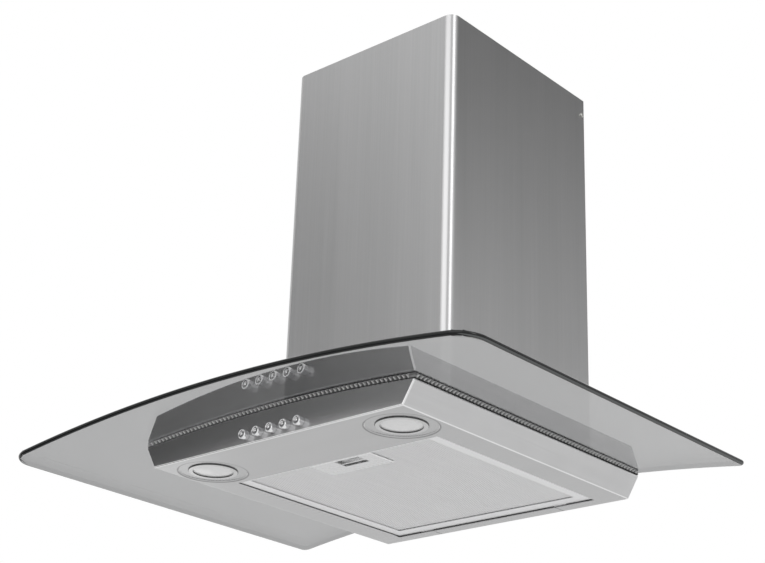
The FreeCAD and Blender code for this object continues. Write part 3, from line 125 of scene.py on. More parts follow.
class Finish(Recipe):
    """A material around one Principled shader, with its constants set on the shader itself."""

    def __init__(self, name, **constants):
        self.material = bpy.data.materials.new(name)
        self.material.use_nodes = True
        super().__init__(self.material.node_tree)
        self.shader = self.tree.nodes["Principled BSDF"]
        for socket, value in constants.items():
            self.shader.inputs[socket.replace("_", " ")].default_value = value

    def place(self):
        """The point on the object, in metres."""
        return self.node("ShaderNodeTexCoord").outputs["Object"]

    def along(self, axis):
        """x, y or z of the point on the object, in metres."""
        split = self.node("ShaderNodeSeparateXYZ", inputs={0: self.place()})
        return Amount(self, split.outputs[axis])

    def facing(self, axis):
        """How far the surface faces along an axis, from -1 to 1."""
        normal = self.node("ShaderNodeNewGeometry").outputs["Normal"]
        split = self.node("ShaderNodeSeparateXYZ", inputs={0: normal})
        return Amount(self, split.outputs[axis])

    def noise(self, per_metre, detail=2.0):
        """Noise around 0.5, with so many grains in a metre along x, y and z."""
        point = self.node("ShaderNodeVectorMath", {"operation": "MULTIPLY"},
                          {0: self.place(), 1: per_metre}).outputs[0]
        made = self.node("ShaderNodeTexNoise", inputs={"Vector": point, "Scale": 1.0,
                                                       "Detail": detail})
        return Amount(self, made.outputs[0])

    def mix(self, share, first, second):
        """From the first number to the second as share goes from 0 to 1."""
        return first + share * (second - first)

    def colour(self, share, first, second):
        """From the first colour to the second as share goes from 0 to 1."""
        made = self.node("ShaderNodeMix", {"data_type": "RGBA"},
                         {0: share, 6: (*first, 1), 7: (*second, 1)})
        return made.outputs[2]

    def feed(self, socket, value):
        """Links a colour or an amount to a socket of the shader."""
        source = value.socket if isinstance(value, Amount) else value
        self.tree.links.new(source, self.shader.inputs[socket])

    def raise_by(self, height, depth):
        """Bump: height from 0 to 1 lifts the surface by depth metres."""
        made = self.node("ShaderNodeBump", inputs={"Height": height, "Distance": depth})
        self.feed("Normal", made.outputs[0])


def dress(finish, *nodes):
    """Gives CAD nodes that keep their own shape a finish."""
    for name in nodes:
        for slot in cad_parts[name].material_slots:
            slot.material = finish.material


def brushed(finish, grain, drift, tone, rough):
    """Brushed steel: fine lines and a slow drift of tone; the lines also vary the gloss."""
    light = finish.mix(grain, 0.90, 1.06) * finish.mix(drift, 0.94, 1.06) * tone
    made = finish.node("ShaderNodeCombineColor", inputs={0: light, 1: light, 2: light * 1.006})
    finish.feed("Base Color", made.outputs[0])
    finish.feed("Roughness", finish.mix(grain, rough - 0.04, rough + 0.04))
    finish.raise_by(grain, 0.000012)


# Painted light and shade: the one steel sheet is painted darker on the front panel and lighter on
# the sides and underside.
front_shade_tone, side_light_tone, underside_light_tone = 0.53, 0.70, 0.57
fold_highlight_tone, crease_shade_tone = 0.99, 0.30
seat_shade_line = (0.0351, 0.0366)
rim_bottom = -0.012

casing_steel = Finish("casing_steel", Metallic=1.0)
up_or_down = casing_steel.facing(2).size()
sideways = casing_steel.facing(0).size()
frontways = casing_steel.facing(1) * -1
underside = up_or_down > 0.6
front_panel = frontways > 0.8
# Painted highlight: the folds are painted bright, where the sheet faces neither of the flat sides
# it joins.
flat = (up_or_down > 0.995) + (sideways > 0.85) + (frontways > 0.995)
panel_lines = casing_steel.noise((8.0, 8.0, 1300.0), 3.0)
underside_lines = casing_steel.noise((8.0, 1300.0, 8.0), 3.0)
face_light_shade_tone = casing_steel.mix(front_panel, casing_steel.mix(underside, side_light_tone, underside_light_tone),
                             front_shade_tone)
# Each lamp seat is pressed in, and a thin dark ring of painted shade lies where the sheet turns
# up.
lamp_low, lamp_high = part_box("lamp_ring_right")
lamp_x, lamp_y = (lamp_low.x + lamp_high.x) / 2, (lamp_low.y + lamp_high.y) / 2
seat_x = casing_steel.along(0).size() - lamp_x
seat_y = casing_steel.along(1) - lamp_y
seat_radius = (seat_x * seat_x + seat_y * seat_y).power(0.5)
in_seat = underside * (1 - (seat_radius > seat_shade_line[1]))
crease_shade = in_seat * (seat_radius > seat_shade_line[0])
# Near the top rim, except on the sides, the folds get no painted highlight.
rim = (casing_steel.along(2) > rim_bottom) * (1 - (sideways > 0.25))
fold_highlight = (1 - (flat > 0.5)) * (1 - in_seat) * (1 - rim)
tone = casing_steel.mix(crease_shade, casing_steel.mix(fold_highlight, face_light_shade_tone, fold_highlight_tone), crease_shade_tone)
brushed(casing_steel, casing_steel.mix(underside, panel_lines, underside_lines),
        casing_steel.noise((4.0, 30.0, 30.0)), tone, 0.24)
dress(casing_steel, "hood_casing")

# ---------------------------------------------------------------- push buttons
# Five chromed plastic buttons in holes of the front panel, each on a coil spring in the switch
# block behind it.
chrome = Finish("button_chrome", Metallic=1.0)
chrome.feed("Roughness", chrome.mix(chrome.noise((900.0, 900.0, 900.0)), 0.04, 0.09))
button_low, button_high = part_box("button_3")
button_pitch = 0.018
dish_depth = 0.0014
bead_share, dish_share = 0.30, 0.85
dark_reflection_share = (0.44, 0.70)
across = chrome.along(0) - (button_low.x + button_high.x) / 2
across = across.math("WRAP", across, button_pitch / 2, -button_pitch / 2)
upwards = chrome.along(2) - (button_low.z + button_high.z) / 2
button_radius = (button_high.x - button_low.x) / 2
from_centre = (across * across + upwards * upwards).power(0.5)
# Each face is dished, with a raised bead in the middle.
dish = from_centre.between(button_radius * bead_share, button_radius * dish_share)
bead = from_centre.between(button_radius * bead_share, 0.0)
chrome.raise_by(dish * dish + bead * 0.5, dish_depth)
# Painted reflection: a dark ring is painted in the dish.
dark_reflection_ring = ((from_centre > button_radius * dark_reflection_share[0])
          * (1 - (from_centre > button_radius * dark_reflection_share[1])))
dark_reflection_ring = dark_reflection_ring * (chrome.facing(1) * -1 > 0.9)
chrome.feed("Base Color", chrome.colour(
    dark_reflection_ring * chrome.noise((400.0, 400.0, 400.0)).between(-0.5, 0.9),
    (0.95, 0.95, 0.96), (0.02, 0.02, 0.02)))
dress(chrome, *("button_%d" % number for number in range(1, 6)))

spring_steel = Finish("spring_steel", Metallic=1.0)
spring_steel.feed("Base Color", spring_steel.colour(spring_steel.noise((600.0, 600.0, 600.0)),
                                                    (0.30, 0.30, 0.31), (0.50, 0.50, 0.51)))
drawn = spring_steel.noise((1500.0, 60.0, 1500.0))
spring_steel.feed("Roughness", spring_steel.mix(drawn, 0.2, 0.4))
dress(spring_steel, "motor_shaft", "flap_pin")
coil_steps = 20
section_steps = 8


def finished(mesh, name, *finishes, smooth_angle=None):
    """Turns mesh code into an object with its finishes."""
    data = bpy.data.meshes.new(name)
    bmesh.ops.recalc_face_normals(mesh, faces=mesh.faces)
    mesh.to_mesh(data)
    mesh.free()
    for finish in finishes:
        data.materials.append(finish.material)
    made = bpy.data.objects.new(name, data)
    bpy.context.scene.collection.objects.link(made)
    if smooth_angle is not None:
        data.shade_smooth()
        data.set_sharp_from_angle(angle=math.radians(smooth_angle))
    return made


def coil(name, node, wire_radius, turns):
    """A compression spring along y, as long as its node, with closed end turns."""
    low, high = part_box(node)
    middle = (low + high) / 2
    radius = (high.x - low.x) / 2 - wire_radius
    closed = wire_radius * 2.1
    pitch = (high.y - low.y - 2 * wire_radius - 2 * closed) / turns
    mesh = bmesh.new()
    rings = []
    for step in range((turns + 2) * coil_steps + 1):
        turn = step / coil_steps
        open_turns = min(max(turn - 1, 0), turns)
        rise = closed * (turn - open_turns) + pitch * open_turns
        angle = 2 * math.pi * turn
        outwards = Vector((math.cos(angle), 0, math.sin(angle)))
        rising = pitch if 1 < turn < turns + 1 else closed
        lead = rising / (2 * math.pi * radius)
        along_wire = Vector((-math.sin(angle), lead, math.cos(angle))).normalized()
        across_wire = along_wire.cross(outwards)
        centre = Vector((middle.x, low.y + wire_radius + rise, middle.z)) + outwards * radius
        ring = []
        for k in range(section_steps):
            around = 2 * math.pi * k / section_steps
            ring.append(mesh.verts.new(centre + (outwards * math.cos(around)
                                                 + across_wire * math.sin(around)) * wire_radius))
        rings.append(ring)
    for first, second in zip(rings, rings[1:]):
        for k in range(section_steps):
            n = (k + 1) % section_steps
            mesh.faces.new((first[k], first[n], second[n], second[k]))
    mesh.faces.new(rings[0])
    mesh.faces.new(rings[-1])
    return finished(mesh, name, spring_steel, smooth_angle=50)


def squeezed(spring, node, body):
    """The coil stands in for the node's spring, fixed to a body, with a mesh of its own."""
    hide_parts(node)
    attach(spring, body)
    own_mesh(spring)


button_wire_radius = 0.00025
for number in range(1, 6):
    node = "button_spring_%d" % number
    squeezed(coil("button_coil_%d" % number, node, button_wire_radius, 4), node, "hood")

# ---------------------------------------------------------------- lamps
# A chromed ring holds a frosted, slightly domed glass under each lamp; the can behind it is
# pressed from galvanised sheet.
ring_metal = Finish("lamp_ring_metal", Metallic=1.0)
lying = ring_metal.facing(2).size() > 0.9
lathe_marks = ring_metal.noise((900.0, 900.0, 40.0))
# Painted shade: all but the flat faces of the ring are painted near black, as a dark outline round
# it.
ring_metal.feed("Base Color", ring_metal.colour(lying, (0.10, 0.10, 0.10), (0.66, 0.66, 0.66)))
ring_metal.feed("Roughness", ring_metal.mix(lathe_marks, 0.16, 0.26))
dress(ring_metal, "lamp_ring_left", "lamp_ring_right")

frosted = Finish("frosted_glass", Coat_Weight=1.0, Coat_Roughness=0.10, IOR=1.5)
stipple = frosted.noise((1800.0, 1800.0, 1800.0))
frosted.feed("Base Color", frosted.colour(stipple, (0.70, 0.70, 0.70), (0.84, 0.84, 0.84)))
frosted.feed("Roughness", frosted.mix(stipple, 0.25, 0.45))
frosted.raise_by(stipple, 0.00006)
dress(frosted, "lamp_lens_left", "lamp_lens_right", "lamp_bulb_left", "lamp_bulb_right")

galvanised = Finish("galvanised_sheet", Metallic=1.0)
crystals = galvanised.node("ShaderNodeTexVoronoi", {"feature": "F1"},
                           {"Vector": galvanised.place(), "Scale": 140.0}).outputs["Color"]
split = galvanised.node("ShaderNodeSeparateColor", inputs={0: crystals})
spangle = Amount(galvanised, split.outputs[0])
galvanised.feed("Base Color", galvanised.colour(spangle, (0.42, 0.43, 0.44), (0.58, 0.59, 0.60)))
galvanised.feed("Roughness", galvanised.mix(spangle, 0.38, 0.55))
dress(galvanised, "lamp_can_left", "lamp_can_right")

# ---------------------------------------------------------------- grease filter
# A cassette of pressed aluminium: a frame round two sheets of expanded mesh and a pleated core,
# hung on two lugs at the rear and latched at the front.
filter_aluminium = Finish("filter_aluminium", Metallic=1.0)
milled = filter_aluminium.noise((300.0, 20.0, 300.0))
filter_aluminium.feed("Base Color", filter_aluminium.colour(milled, (0.84, 0.84, 0.845),
                                                            (0.93, 0.93, 0.935)))
filter_aluminium.feed("Roughness", filter_aluminium.mix(milled, 0.28, 0.42))
dress(filter_aluminium, "filter_frame", "filter_core")
latch_steel = Finish("latch_steel", Metallic=1.0)
latch_level = latch_steel.facing(2).size() > 0.9
latch_brush = latch_steel.noise((8.0, 900.0, 8.0))
plate_low, plate_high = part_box("latch_plate")
# Painted highlight: the plate's upright faces and a band along its right and front edges are
# painted white.
edge_highlight_width = (0.0016, 0.0014)
edge_highlight = ((latch_steel.along(0) > plate_high.x - edge_highlight_width[0])
          + (plate_low.y + edge_highlight_width[1] - latch_steel.along(1) > 0))
latch_steel.feed("Base Color", latch_steel.colour(latch_level * (1 - edge_highlight), (1.0, 1.0, 1.0),
                                                  (0.78, 0.78, 0.785)))
latch_steel.feed("Roughness", latch_steel.mix(latch_brush, 0.22, 0.32))
dress(latch_steel, "latch_plate", "filter_latch")
latch_wire_radius = 0.0002
squeezed(coil("latch_coil", "latch_spring", latch_wire_radius, 3), "latch_spring",
         "grease_filter")

# The mesh is left out where the latch plate's finger slot reaches into the filter.
slot_low, slot_high = Vector((-0.0052, -0.2752, 0)), Vector((0.0282, -0.2552, 0))
diamond_x = 0.0050
diamond_y = 0.0029
strand_share = 0.42
strand_tilt = 0.00022
strand_thickness = 0.0003
sheet_play = 0.00005


def expanded_mesh(name, node, inwards):
    """Rows of diamond openings, each with four flat strands that lean like cut and drawn metal."""
    mesh = bmesh.new()
    mesh_low, mesh_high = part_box(node)
    corners = {}

    def corner(x, y, z):
        key = (round(x * 1e6), round(y * 1e6))
        if key not in corners:
            corners[key] = mesh.verts.new((x, y, z))
        return corners[key]

    rows = int((mesh_high.y - mesh_low.y) / (diamond_y / 2)) - 1
    columns = int((mesh_high.x - mesh_low.x) / diamond_x) - 1
    face_z = (mesh_low.z if inwards > 0 else mesh_high.z) + inwards * sheet_play
    for row in range(rows):
        for column in range(columns):
            x = mesh_low.x + (column + 0.75 + (row % 2) / 2) * diamond_x
            y = mesh_low.y + (row + 1) * diamond_y / 2
            if slot_low.x < x < slot_high.x and slot_low.y < y < slot_high.y:
                continue
            outer = []
            for dx, dy in ((-1, 0), (0, -1), (1, 0), (0, 1)):
                lean = 0 if dx else inwards * strand_tilt * (1 if (row + (dy > 0)) % 2 else 0)
                outer.append(corner(x + dx * diamond_x / 2, y + dy * diamond_y / 2, face_z + lean))
            keep = 1 - strand_share
            inner = [mesh.verts.new((x + dx * diamond_x / 2 * keep, y + dy * diamond_y / 2 * keep,
                                     face_z + (inwards * strand_tilt if dy > 0 else 0)))
                     for dx, dy in ((-1, 0), (0, -1), (1, 0), (0, 1))]
            through = Vector((0, 0, inwards * strand_thickness))
            deep = [mesh.verts.new(vert.co + through) for vert in inner]
            for k in range(4):
                n = (k + 1) % 4
                mesh.faces.new((outer[k], inner[k], inner[n], outer[n]))
                mesh.faces.new((inner[k], deep[k], deep[n], inner[n]))
    return finished(mesh, name, filter_aluminium)


for name, node, inwards in (("filter_mesh", "filter_sheet_lower", 1),
                            ("filter_mesh_upper", "filter_sheet_upper", -1)):
    filter_mesh = expanded_mesh(name, node, inwards)
    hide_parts(node)
    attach(filter_mesh, "grease_filter")

# ---------------------------------------------------------------- seal
# A moulded rubber band lies on the rim of the casing, held there by the clamped glass. Its thin
# ribs flare outwards and press on the glass from below.
rib_pitch = 0.0052
rib_thickness = 0.0009
rib_depth = 0.0034
rib_flare = 0.0034
rib_bottom, rib_top = -0.0021, -0.00015
seal_low, seal_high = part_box("glass_seal")
glass_width = 0.600
glass_sagitta = 0.0218
arch_radius = (glass_width ** 2 / 4 + glass_sagitta ** 2) / (2 * glass_sagitta)


def on_arch(x, y, height):
    """A point over x and y, height above the underside of the arched glass."""
    return Vector((x, y, math.sqrt((arch_radius + height) ** 2 - x ** 2) - arch_radius))


seal_rubber = Finish("seal_rubber")
seam_height = (seal_rubber.along(0).power(2.0) + seal_rubber.along(2) * 2 * arch_radius
               + seal_rubber.along(2).power(2.0)) * (0.5 / arch_radius)
# Painted shade: below the ribs' foot the rubber is painted near black, as the shadow line of the
# seam; above it, mottled grey.
seal_rubber.feed("Base Color", seal_rubber.colour(
    (seam_height > rib_bottom) * seal_rubber.noise((300.0, 300.0, 300.0)).between(-1.0, 1.0),
    (0.012, 0.012, 0.012), (0.42, 0.42, 0.42)))
seal_rubber.feed("Roughness", seal_rubber.mix(seal_rubber.noise((900.0, 900.0, 900.0)), 0.5, 0.7))
dress(seal_rubber, "glass_seal", "glass_washers")

rib_rubber = Finish("rib_rubber")
rib_rubber.feed("Base Color", rib_rubber.colour(rib_rubber.noise((500.0, 500.0, 500.0)),
                                                (0.66, 0.66, 0.66), (0.80, 0.80, 0.80)))
rib_rubber.feed("Roughness", rib_rubber.mix(rib_rubber.noise((900.0, 900.0, 900.0)), 0.35, 0.5))


def flared_ribs(name):
    """Thin ribs along the front and both sides, wider at the glass than at the rim."""
    mesh = bmesh.new()
    rows = []
    count = int(seal_high.x / rib_pitch)
    for step in range(-count, count):
        rows.append((((step + 0.5) * rib_pitch, seal_low.y), (1, 0), (0, -1)))
    count = int((seal_high.y - seal_low.y) / rib_pitch)
    for step in range(count):
        for side in (-1, 1):
            place = (side * seal_high.x, seal_low.y + (step + 0.5) * rib_pitch)
            rows.append((place, (0, 1), (side, 0)))
    for (x, y), (ax, ay), (ox, oy) in rows:
        verts = []
        for reach, height in ((0, rib_bottom), (rib_flare, rib_top), (-rib_depth, rib_top),
                              (-rib_depth, rib_bottom)):
            for edge in (-0.5, 0.5):
                verts.append(mesh.verts.new(on_arch(x + ox * reach + ax * edge * rib_thickness,
                                                    y + oy * reach + ay * edge * rib_thickness,
                                                    height)))
        for k in range(4):
            n = (k + 1) % 4
            mesh.faces.new((verts[2 * k], verts[2 * k + 1], verts[2 * n + 1], verts[2 * n]))
        mesh.faces.new(verts[0::2])
        mesh.faces.new(verts[1::2])
    return finished(mesh, name, rib_rubber)


seal_ribs = flared_ribs("seal_ribs")
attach(seal_ribs, "hood")

# ---------------------------------------------------------------- glass canopy
# One sheet of smoked, toughened glass, bent to a shallow arch. It mirrors what lies under it and
# lets little light through; its edges are ground and polished.
glass_thickness = 0.005
glass_back_y = -0.001
glass_front_y = -0.446
front_corner = 0.024
rear_corner = 0.008
notch_half = 0.117
notch_front_y = -0.248
notch_corner = 0.006
edge_steps = 8
front_corner_steps = 14
# The flat sheet is cut across at these steps, so that it bends evenly.
bend_step = 0.010
bends_each_side = 29
# The bent sheet's edge leans out by this much, and the flat one is cut shorter for it.
edge_lean = 0.0004

smoked_glass = Finish("smoked_glass", Metallic=1.0, Roughness=0.02, Alpha=0.80)
smoked_glass.shader.inputs["Base Color"].default_value = (0.59, 0.593, 0.597, 1)
polished_edge = Finish("polished_glass_edge", IOR=1.36)
# Painted reflection: where the round edge faces downwards and sideways it is painted near black,
# elsewhere dark grey.
dark_edge_reflection = (polished_edge.facing(2) * -1 > 0.45) * (polished_edge.facing(0).size() > 0.3)
polished_edge.feed("Base Color", polished_edge.colour(dark_edge_reflection, (0.004, 0.005, 0.005),
                                                      (0.10, 0.105, 0.105)))
ground = polished_edge.noise((900.0, 900.0, 900.0))
polished_edge.feed("Roughness", polished_edge.mix(ground, 0.06, 0.14))


def arc(centre_x, centre_y, radius, first, last, steps=8):
    """Points on an arc in plan, angles in degrees."""
    turns = [math.radians(first + (last - first) * k / steps) for k in range(steps + 1)]
    return [(centre_x + radius * math.cos(a), centre_y + radius * math.sin(a)) for a in turns]


def glass_outline():
    """The edge of the glass in plan: rounded corners and the notch for the chimney."""
    half = glass_width / 2 - edge_lean
    f, r, n = front_corner, rear_corner, notch_corner
    points = arc(half - f, glass_front_y + f, f, -90, 0, front_corner_steps)
    points += arc(half - r, glass_back_y - r, r, 0, 90)
    points += [(notch_half, glass_back_y)]
    points += arc(notch_half - n, notch_front_y + n, n, 360, 270)
    points += arc(-notch_half + n, notch_front_y + n, n, 270, 180)
    points += [(-notch_half, glass_back_y)]
    points += arc(-half + r, glass_back_y - r, r, 90, 180)
    points += arc(-half + f, glass_front_y + f, f, 180, 270, front_corner_steps)
    return points


def bent(point, height):
    """A point of the flat sheet on the arch, height above the underside."""
    turn = point.x / arch_radius
    reach = arch_radius + height
    return Vector((reach * math.sin(turn), point.y, reach * math.cos(turn) - arch_radius))


def turned(direction, point):
    """A direction in the flat sheet as it runs on the arch at a point."""
    turn = point.x / arch_radius
    return Vector((direction.x * math.cos(turn), direction.y, -direction.x * math.sin(turn)))


def upright(point, length):
    """A vector square to the arch at a point of the flat sheet."""
    turn = point.x / arch_radius
    return Vector((math.sin(turn), 0, math.cos(turn))) * length


def canopy():
    """The sheet, cut in plan and bent, with a round ground edge."""
    mesh = bmesh.new()
    # Length along the arch is a little more than in plan.
    stretch = [(arch_radius * math.asin(x / arch_radius), y) for x, y in glass_outline()]
    face = mesh.faces.new([mesh.verts.new((x, y, 0)) for x, y in stretch])
    bmesh.ops.triangulate(mesh, faces=[face])
    for k in range(-bends_each_side, bends_each_side + 1):
        bmesh.ops.bisect_plane(mesh, geom=mesh.faces[:] + mesh.edges[:] + mesh.verts[:],
                               plane_co=(k * bend_step, 0, 0), plane_no=(1, 0, 0))
    radius = glass_thickness / 2
    ring = bmesh.ops.inset_region(mesh, faces=mesh.faces[:], thickness=radius,
                                  use_boundary=True, use_even_offset=True)["faces"]
    rim = [edge for edge in mesh.edges if edge.is_boundary]
    # Keys keep their order, so the new points come in the same order on each run.
    outer = dict.fromkeys(vert for edge in rim for vert in edge.verts)
    inner = {}
    for face in ring:
        for edge in face.edges:
            a, b = edge.verts
            if (a in outer) != (b in outer):
                inner[a if a in outer else b] = b if a in outer else a
    edges = [(edge.verts[0], edge.verts[1]) for edge in rim]
    flat = {vert: vert.co.copy() for vert in mesh.verts}
    upper = {vert: mesh.verts.new(bent(flat[vert], glass_thickness))
             for vert in list(mesh.verts) if vert not in outer}
    facing = {vert: upright(flat[vert], -1) for vert in flat}
    facing.update({vert: upright(flat[low], 1) for low, vert in upper.items()})
    rounds = {}
    for vert in outer:
        steps = [inner[vert]]
        outwards = (flat[vert] - flat[inner[vert]]).normalized()
        for k in range(1, edge_steps):
            turn = math.radians(-90 + 180 * k / edge_steps)
            point = flat[inner[vert]].lerp(flat[vert], math.cos(turn))
            steps.append(mesh.verts.new(bent(point, radius + radius * math.sin(turn))))
            facing[steps[-1]] = (upright(flat[vert], math.sin(turn))
                                 + turned(outwards, flat[vert]) * math.cos(turn))
        rounds[vert] = steps + [upper[inner[vert]]]
    for face in list(mesh.faces):
        if face not in ring:
            mesh.faces.new([upper[vert] for vert in reversed(face.verts)])
    for a, b in edges:
        for k in range(edge_steps):
            corners = [rounds[a][k], rounds[b][k], rounds[b][k + 1], rounds[a][k + 1]]
            mesh.faces.new(corners).material_index = 1
    bmesh.ops.delete(mesh, geom=ring, context="FACES")
    for vert, point in flat.items():
        if vert not in outer:
            vert.co = bent(point, 0)
    # The normals are the true ones of the arch, so that reflections in it run undisturbed.
    for vert in [vert for vert in mesh.verts if not vert.link_faces]:
        mesh.verts.remove(vert)
    normals = [tuple(facing[vert].normalized()) for vert in mesh.verts]
    made = finished(mesh, "canopy_glass", smoked_glass, polished_edge, smooth_angle=60)
    made.data.normals_split_custom_set_from_vertices(normals)
    return made


canopy_glass = canopy()
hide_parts("glass_canopy")
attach(canopy_glass, "hood")

# ---------------------------------------------------------------- screws, bolts and rivets
# Zinc-plated steel with a faint yellow cast. Four bolts with nuts clamp the glass, rivets hold the
# hanging plate, and screws hold the rest.
zinc = Finish("zinc_plate", Metallic=1.0)
zinc.feed("Base Color", zinc.colour(zinc.noise((500.0, 500.0, 500.0)),
                                    (0.44, 0.44, 0.42), (0.60, 0.60, 0.57)))
zinc.feed("Roughness", zinc.mix(zinc.noise((1200.0, 1200.0, 1200.0)), 0.25, 0.45))
dress(zinc, "glass_bolts", "glass_nuts", "deck_screws", "hanger_rivets", "motor_screws",
      "outlet_screws", "switch_screws", "chimney_screws")

# ---------------------------------------------------------------- deck, fan box and hanging plate
# Galvanised sheet: the deck closes the casing, the fan box stands on it, and the hanging plate
# on its back goes over the wall screws.
dress(galvanised, "deck_plate", "fan_box", "fan_box_lid", "hanging_plate", "capacitor_clip",
      "chimney_bracket")

# ---------------------------------------------------------------- blower and outlet
# Moulded from black plastic: scroll, inlet, fan wheel, outlet collar with its two flaps. The
# collar, the top of the fan box and the scroll are screwed together.
moulded_black = Finish("moulded_black", IOR=1.5)
moulded = moulded_black.noise((700.0, 700.0, 700.0))
moulded_black.feed("Base Color", moulded_black.colour(moulded, (0.014, 0.014, 0.015),
                                                      (0.026, 0.026, 0.027)))
moulded_black.feed("Roughness", moulded_black.mix(moulded, 0.38, 0.55))
moulded_black.raise_by(moulded, 0.00004)
dress(moulded_black, "blower_scroll", "blower_inlet_plate", "impeller", "switch_block",
      "cable_gland", "outlet_spigot", "flap_left", "flap_right")

# ---------------------------------------------------------------- motor and electrical pieces
# A painted motor can, screwed to the scroll, and a capacitor, terminal box and terminal strip of
# white plastic.
motor_paint = Finish("motor_paint")
speckle = motor_paint.noise((450.0, 450.0, 450.0))
motor_paint.feed("Base Color", motor_paint.colour(speckle, (0.10, 0.105, 0.11),
                                                  (0.16, 0.165, 0.17)))
motor_paint.feed("Roughness", motor_paint.mix(speckle, 0.35, 0.5))
dress(motor_paint, "motor_body")

moulded_white = Finish("moulded_white", IOR=1.5)
grain_white = moulded_white.noise((600.0, 600.0, 600.0))
moulded_white.feed("Base Color", moulded_white.colour(grain_white, (0.72, 0.72, 0.70),
                                                      (0.80, 0.80, 0.78)))
moulded_white.feed("Roughness", moulded_white.mix(grain_white, 0.4, 0.55))
dress(moulded_white, "capacitor", "terminal_box", "terminal_cover", "terminal_block")

# ---------------------------------------------------------------- chimney
# Two covers folded from stainless sheet and brushed from top to bottom. The upper one slides in
# the lower one, which is screwed to the bracket on the wall.
chimney_steel = Finish("chimney_steel", Metallic=1.0)
brushed(chimney_steel, chimney_steel.noise((1100.0, 1100.0, 5.0), 3.0),
        chimney_steel.noise((35.0, 35.0, 1.5)), 0.42, 0.30)
dress(chimney_steel, "chimney_lower", "chimney_upper")

# ---------------------------------------------------------------- studio
# A pale floor far below, white surroundings, three soft lamps, and grey cards that polished metal
# and glass mirror.
floor_z = -2.6
floor_half = 14.5
floor_mesh = bmesh.new()
bmesh.ops.create_grid(floor_mesh, x_segments=8, y_segments=8, size=floor_half)
bmesh.ops.translate(floor_mesh, verts=floor_mesh.verts, vec=(0, -0.3, floor_z))
floor_paint = Finish("floor_paint", Roughness=0.6)
floor_paint.feed("Base Color", floor_paint.colour(floor_paint.noise((3.0, 3.0, 3.0)),
                                                  (0.78, 0.78, 0.78), (0.82, 0.82, 0.82)))
floor = finished(floor_mesh, "floor", floor_paint)

# Seen straight, in metal or through glass, the surroundings are white. As light on the hood they
# are a little weaker.
light_on_hood = 0.85
world = bpy.data.worlds.new("surroundings")
bpy.context.scene.world = world
world.use_nodes = True
sky = Recipe(world.node_tree)
rays = sky.node("ShaderNodeLightPath").outputs
seen = Amount(sky, rays["Is Camera Ray"]).at_least(rays["Is Glossy Ray"])
seen = seen.at_least(rays["Is Transmission Ray"])
background = sky.tree.nodes["Background"]
background.inputs["Color"].default_value = (1, 1, 1, 1)
strength = light_on_hood + seen * (1 - light_on_hood)
sky.tree.links.new(strength.socket, background.inputs["Strength"])


def soft_lamp(name, place, aim, width, height, watts):
    """A rectangular soft lamp turned towards a point."""
    lamp = bpy.data.lights.new(name, "AREA")
    lamp.shape = "RECTANGLE"
    lamp.size, lamp.size_y, lamp.energy = width, height, watts
    made = bpy.data.objects.new(name, lamp)
    made.location = place
    made.rotation_euler = (Vector(aim) - Vector(place)).to_track_quat("-Z", "Y").to_euler()
    bpy.context.scene.collection.objects.link(made)


soft_lamp("front_softbox", (0.25, -2.6, 1.35), (0, -0.2, 0.2), 2.4, 1.5, 15.0)
soft_lamp("side_softbox", (2.15, -0.85, 1.30), (0, -0.2, 0.2), 0.7, 1.6, 11.0)
soft_lamp("low_lamp", (-1.80, 1.00, -0.65), (-0.16, -0.33, -0.03), 0.30, 0.30, 0.09)


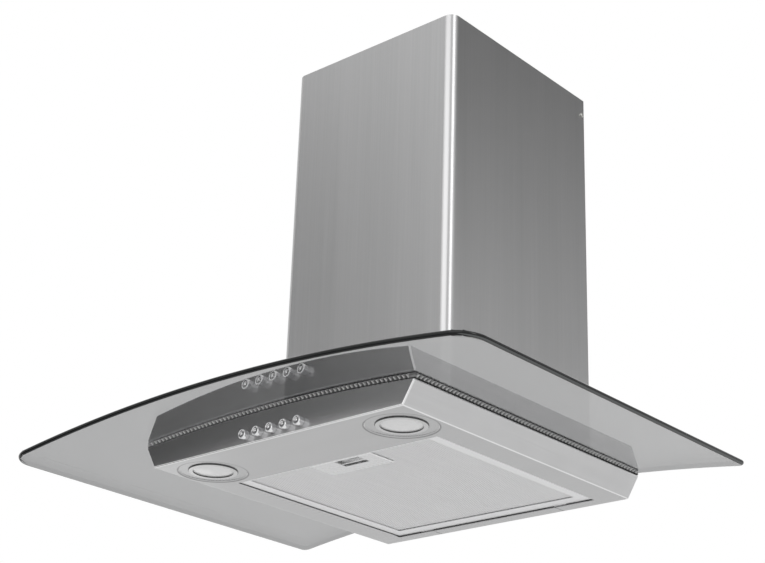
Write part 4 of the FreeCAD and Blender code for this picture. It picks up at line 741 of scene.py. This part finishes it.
def grey_card(name, centre, turn, tilt, width, height, shade):
    """A card beside the hood that only shows in polished metal and glass."""
    mesh = bmesh.new()
    bmesh.ops.create_grid(mesh, x_segments=4, y_segments=4, size=0.5)
    pose = (Matrix.Translation(centre) @ Matrix.Rotation(math.radians(turn), 4, "Z")
            @ Matrix.Rotation(math.radians(90 + tilt), 4, "X")
            @ Matrix.Diagonal((width, height, 1, 1)))
    bmesh.ops.transform(mesh, matrix=pose, verts=mesh.verts)
    paint = Finish(name + "_paint", Roughness=1.0)
    grey = shade(paint)
    made = paint.node("ShaderNodeCombineColor", inputs={0: grey, 1: grey, 2: grey})
    paint.feed("Base Color", made.outputs[0])
    card = finished(mesh, name, paint)
    card.visible_camera = card.visible_diffuse = card.visible_shadow = False
    card.visible_transmission = card.visible_volume_scatter = False


def rear_shade(paint):
    """Darker towards the top and towards the rear, as the chimney's right side shows it."""
    lower = paint.along(2).between(1.42, 0.70)
    return paint.mix(lower, 0.22, 0.70) * paint.mix(paint.along(0).between(0.90, 1.12), 0.85, 1.22)


def left_shade(paint):
    """A dark patch low on the left of what the chimney's front shows."""
    high = paint.along(2).between(1.15, 1.60)
    patch = paint.mix(high, 0.48, 0.85)
    faded = paint.along(0).between(-1.52, -1.22) * paint.along(2).between(0.72, 0.95)
    return paint.mix(paint.along(2).between(0.68, 0.60), paint.mix(faded, patch, 0.80), 1.0)


grey_card("rear_card", (1.15, 0.95, 1.25), -41.0, 0.0, 1.7, 1.5, rear_shade)
grey_card("left_card", (-1.55, -1.55, 0.75), -45.0, 0.0, 1.2, 1.7, left_shade)
grey_card("low_card", (-1.20, -1.43, -0.75), -41.0, 20.0, 1.8, 0.8,
          lambda paint: paint.mix(paint.along(0).between(-1.32, -0.98), 0.03, 0.46))

# The camera stands where the photograph was taken from, as fitted to the glass.
camera_place = (1.094863, -1.451392, -0.531629)
yaw, pitch, roll = (math.radians(angle) for angle in (41.5415, 23.3413, 1.9072))
ahead = Vector((-math.sin(yaw) * math.cos(pitch), math.cos(yaw) * math.cos(pitch),
                math.sin(pitch)))
level = ahead.cross(Vector((0, 0, 1))).normalized()
over = level.cross(ahead)
right = level * math.cos(roll) + over * math.sin(roll)
up = over * math.cos(roll) - level * math.sin(roll)
camera_data = bpy.data.cameras.new("camera")
camera_data.sensor_width = 36.0
camera_data.lens = 79.955
camera = bpy.data.objects.new("camera", camera_data)
camera.matrix_world = Matrix.Translation(camera_place) @ Matrix(
    (right, up, -ahead)).transposed().to_4x4()
bpy.context.scene.collection.objects.link(camera)
bpy.context.scene.camera = camera
bpy.context.scene.view_settings.view_transform = "Standard"

bpy.context.view_layer.update()
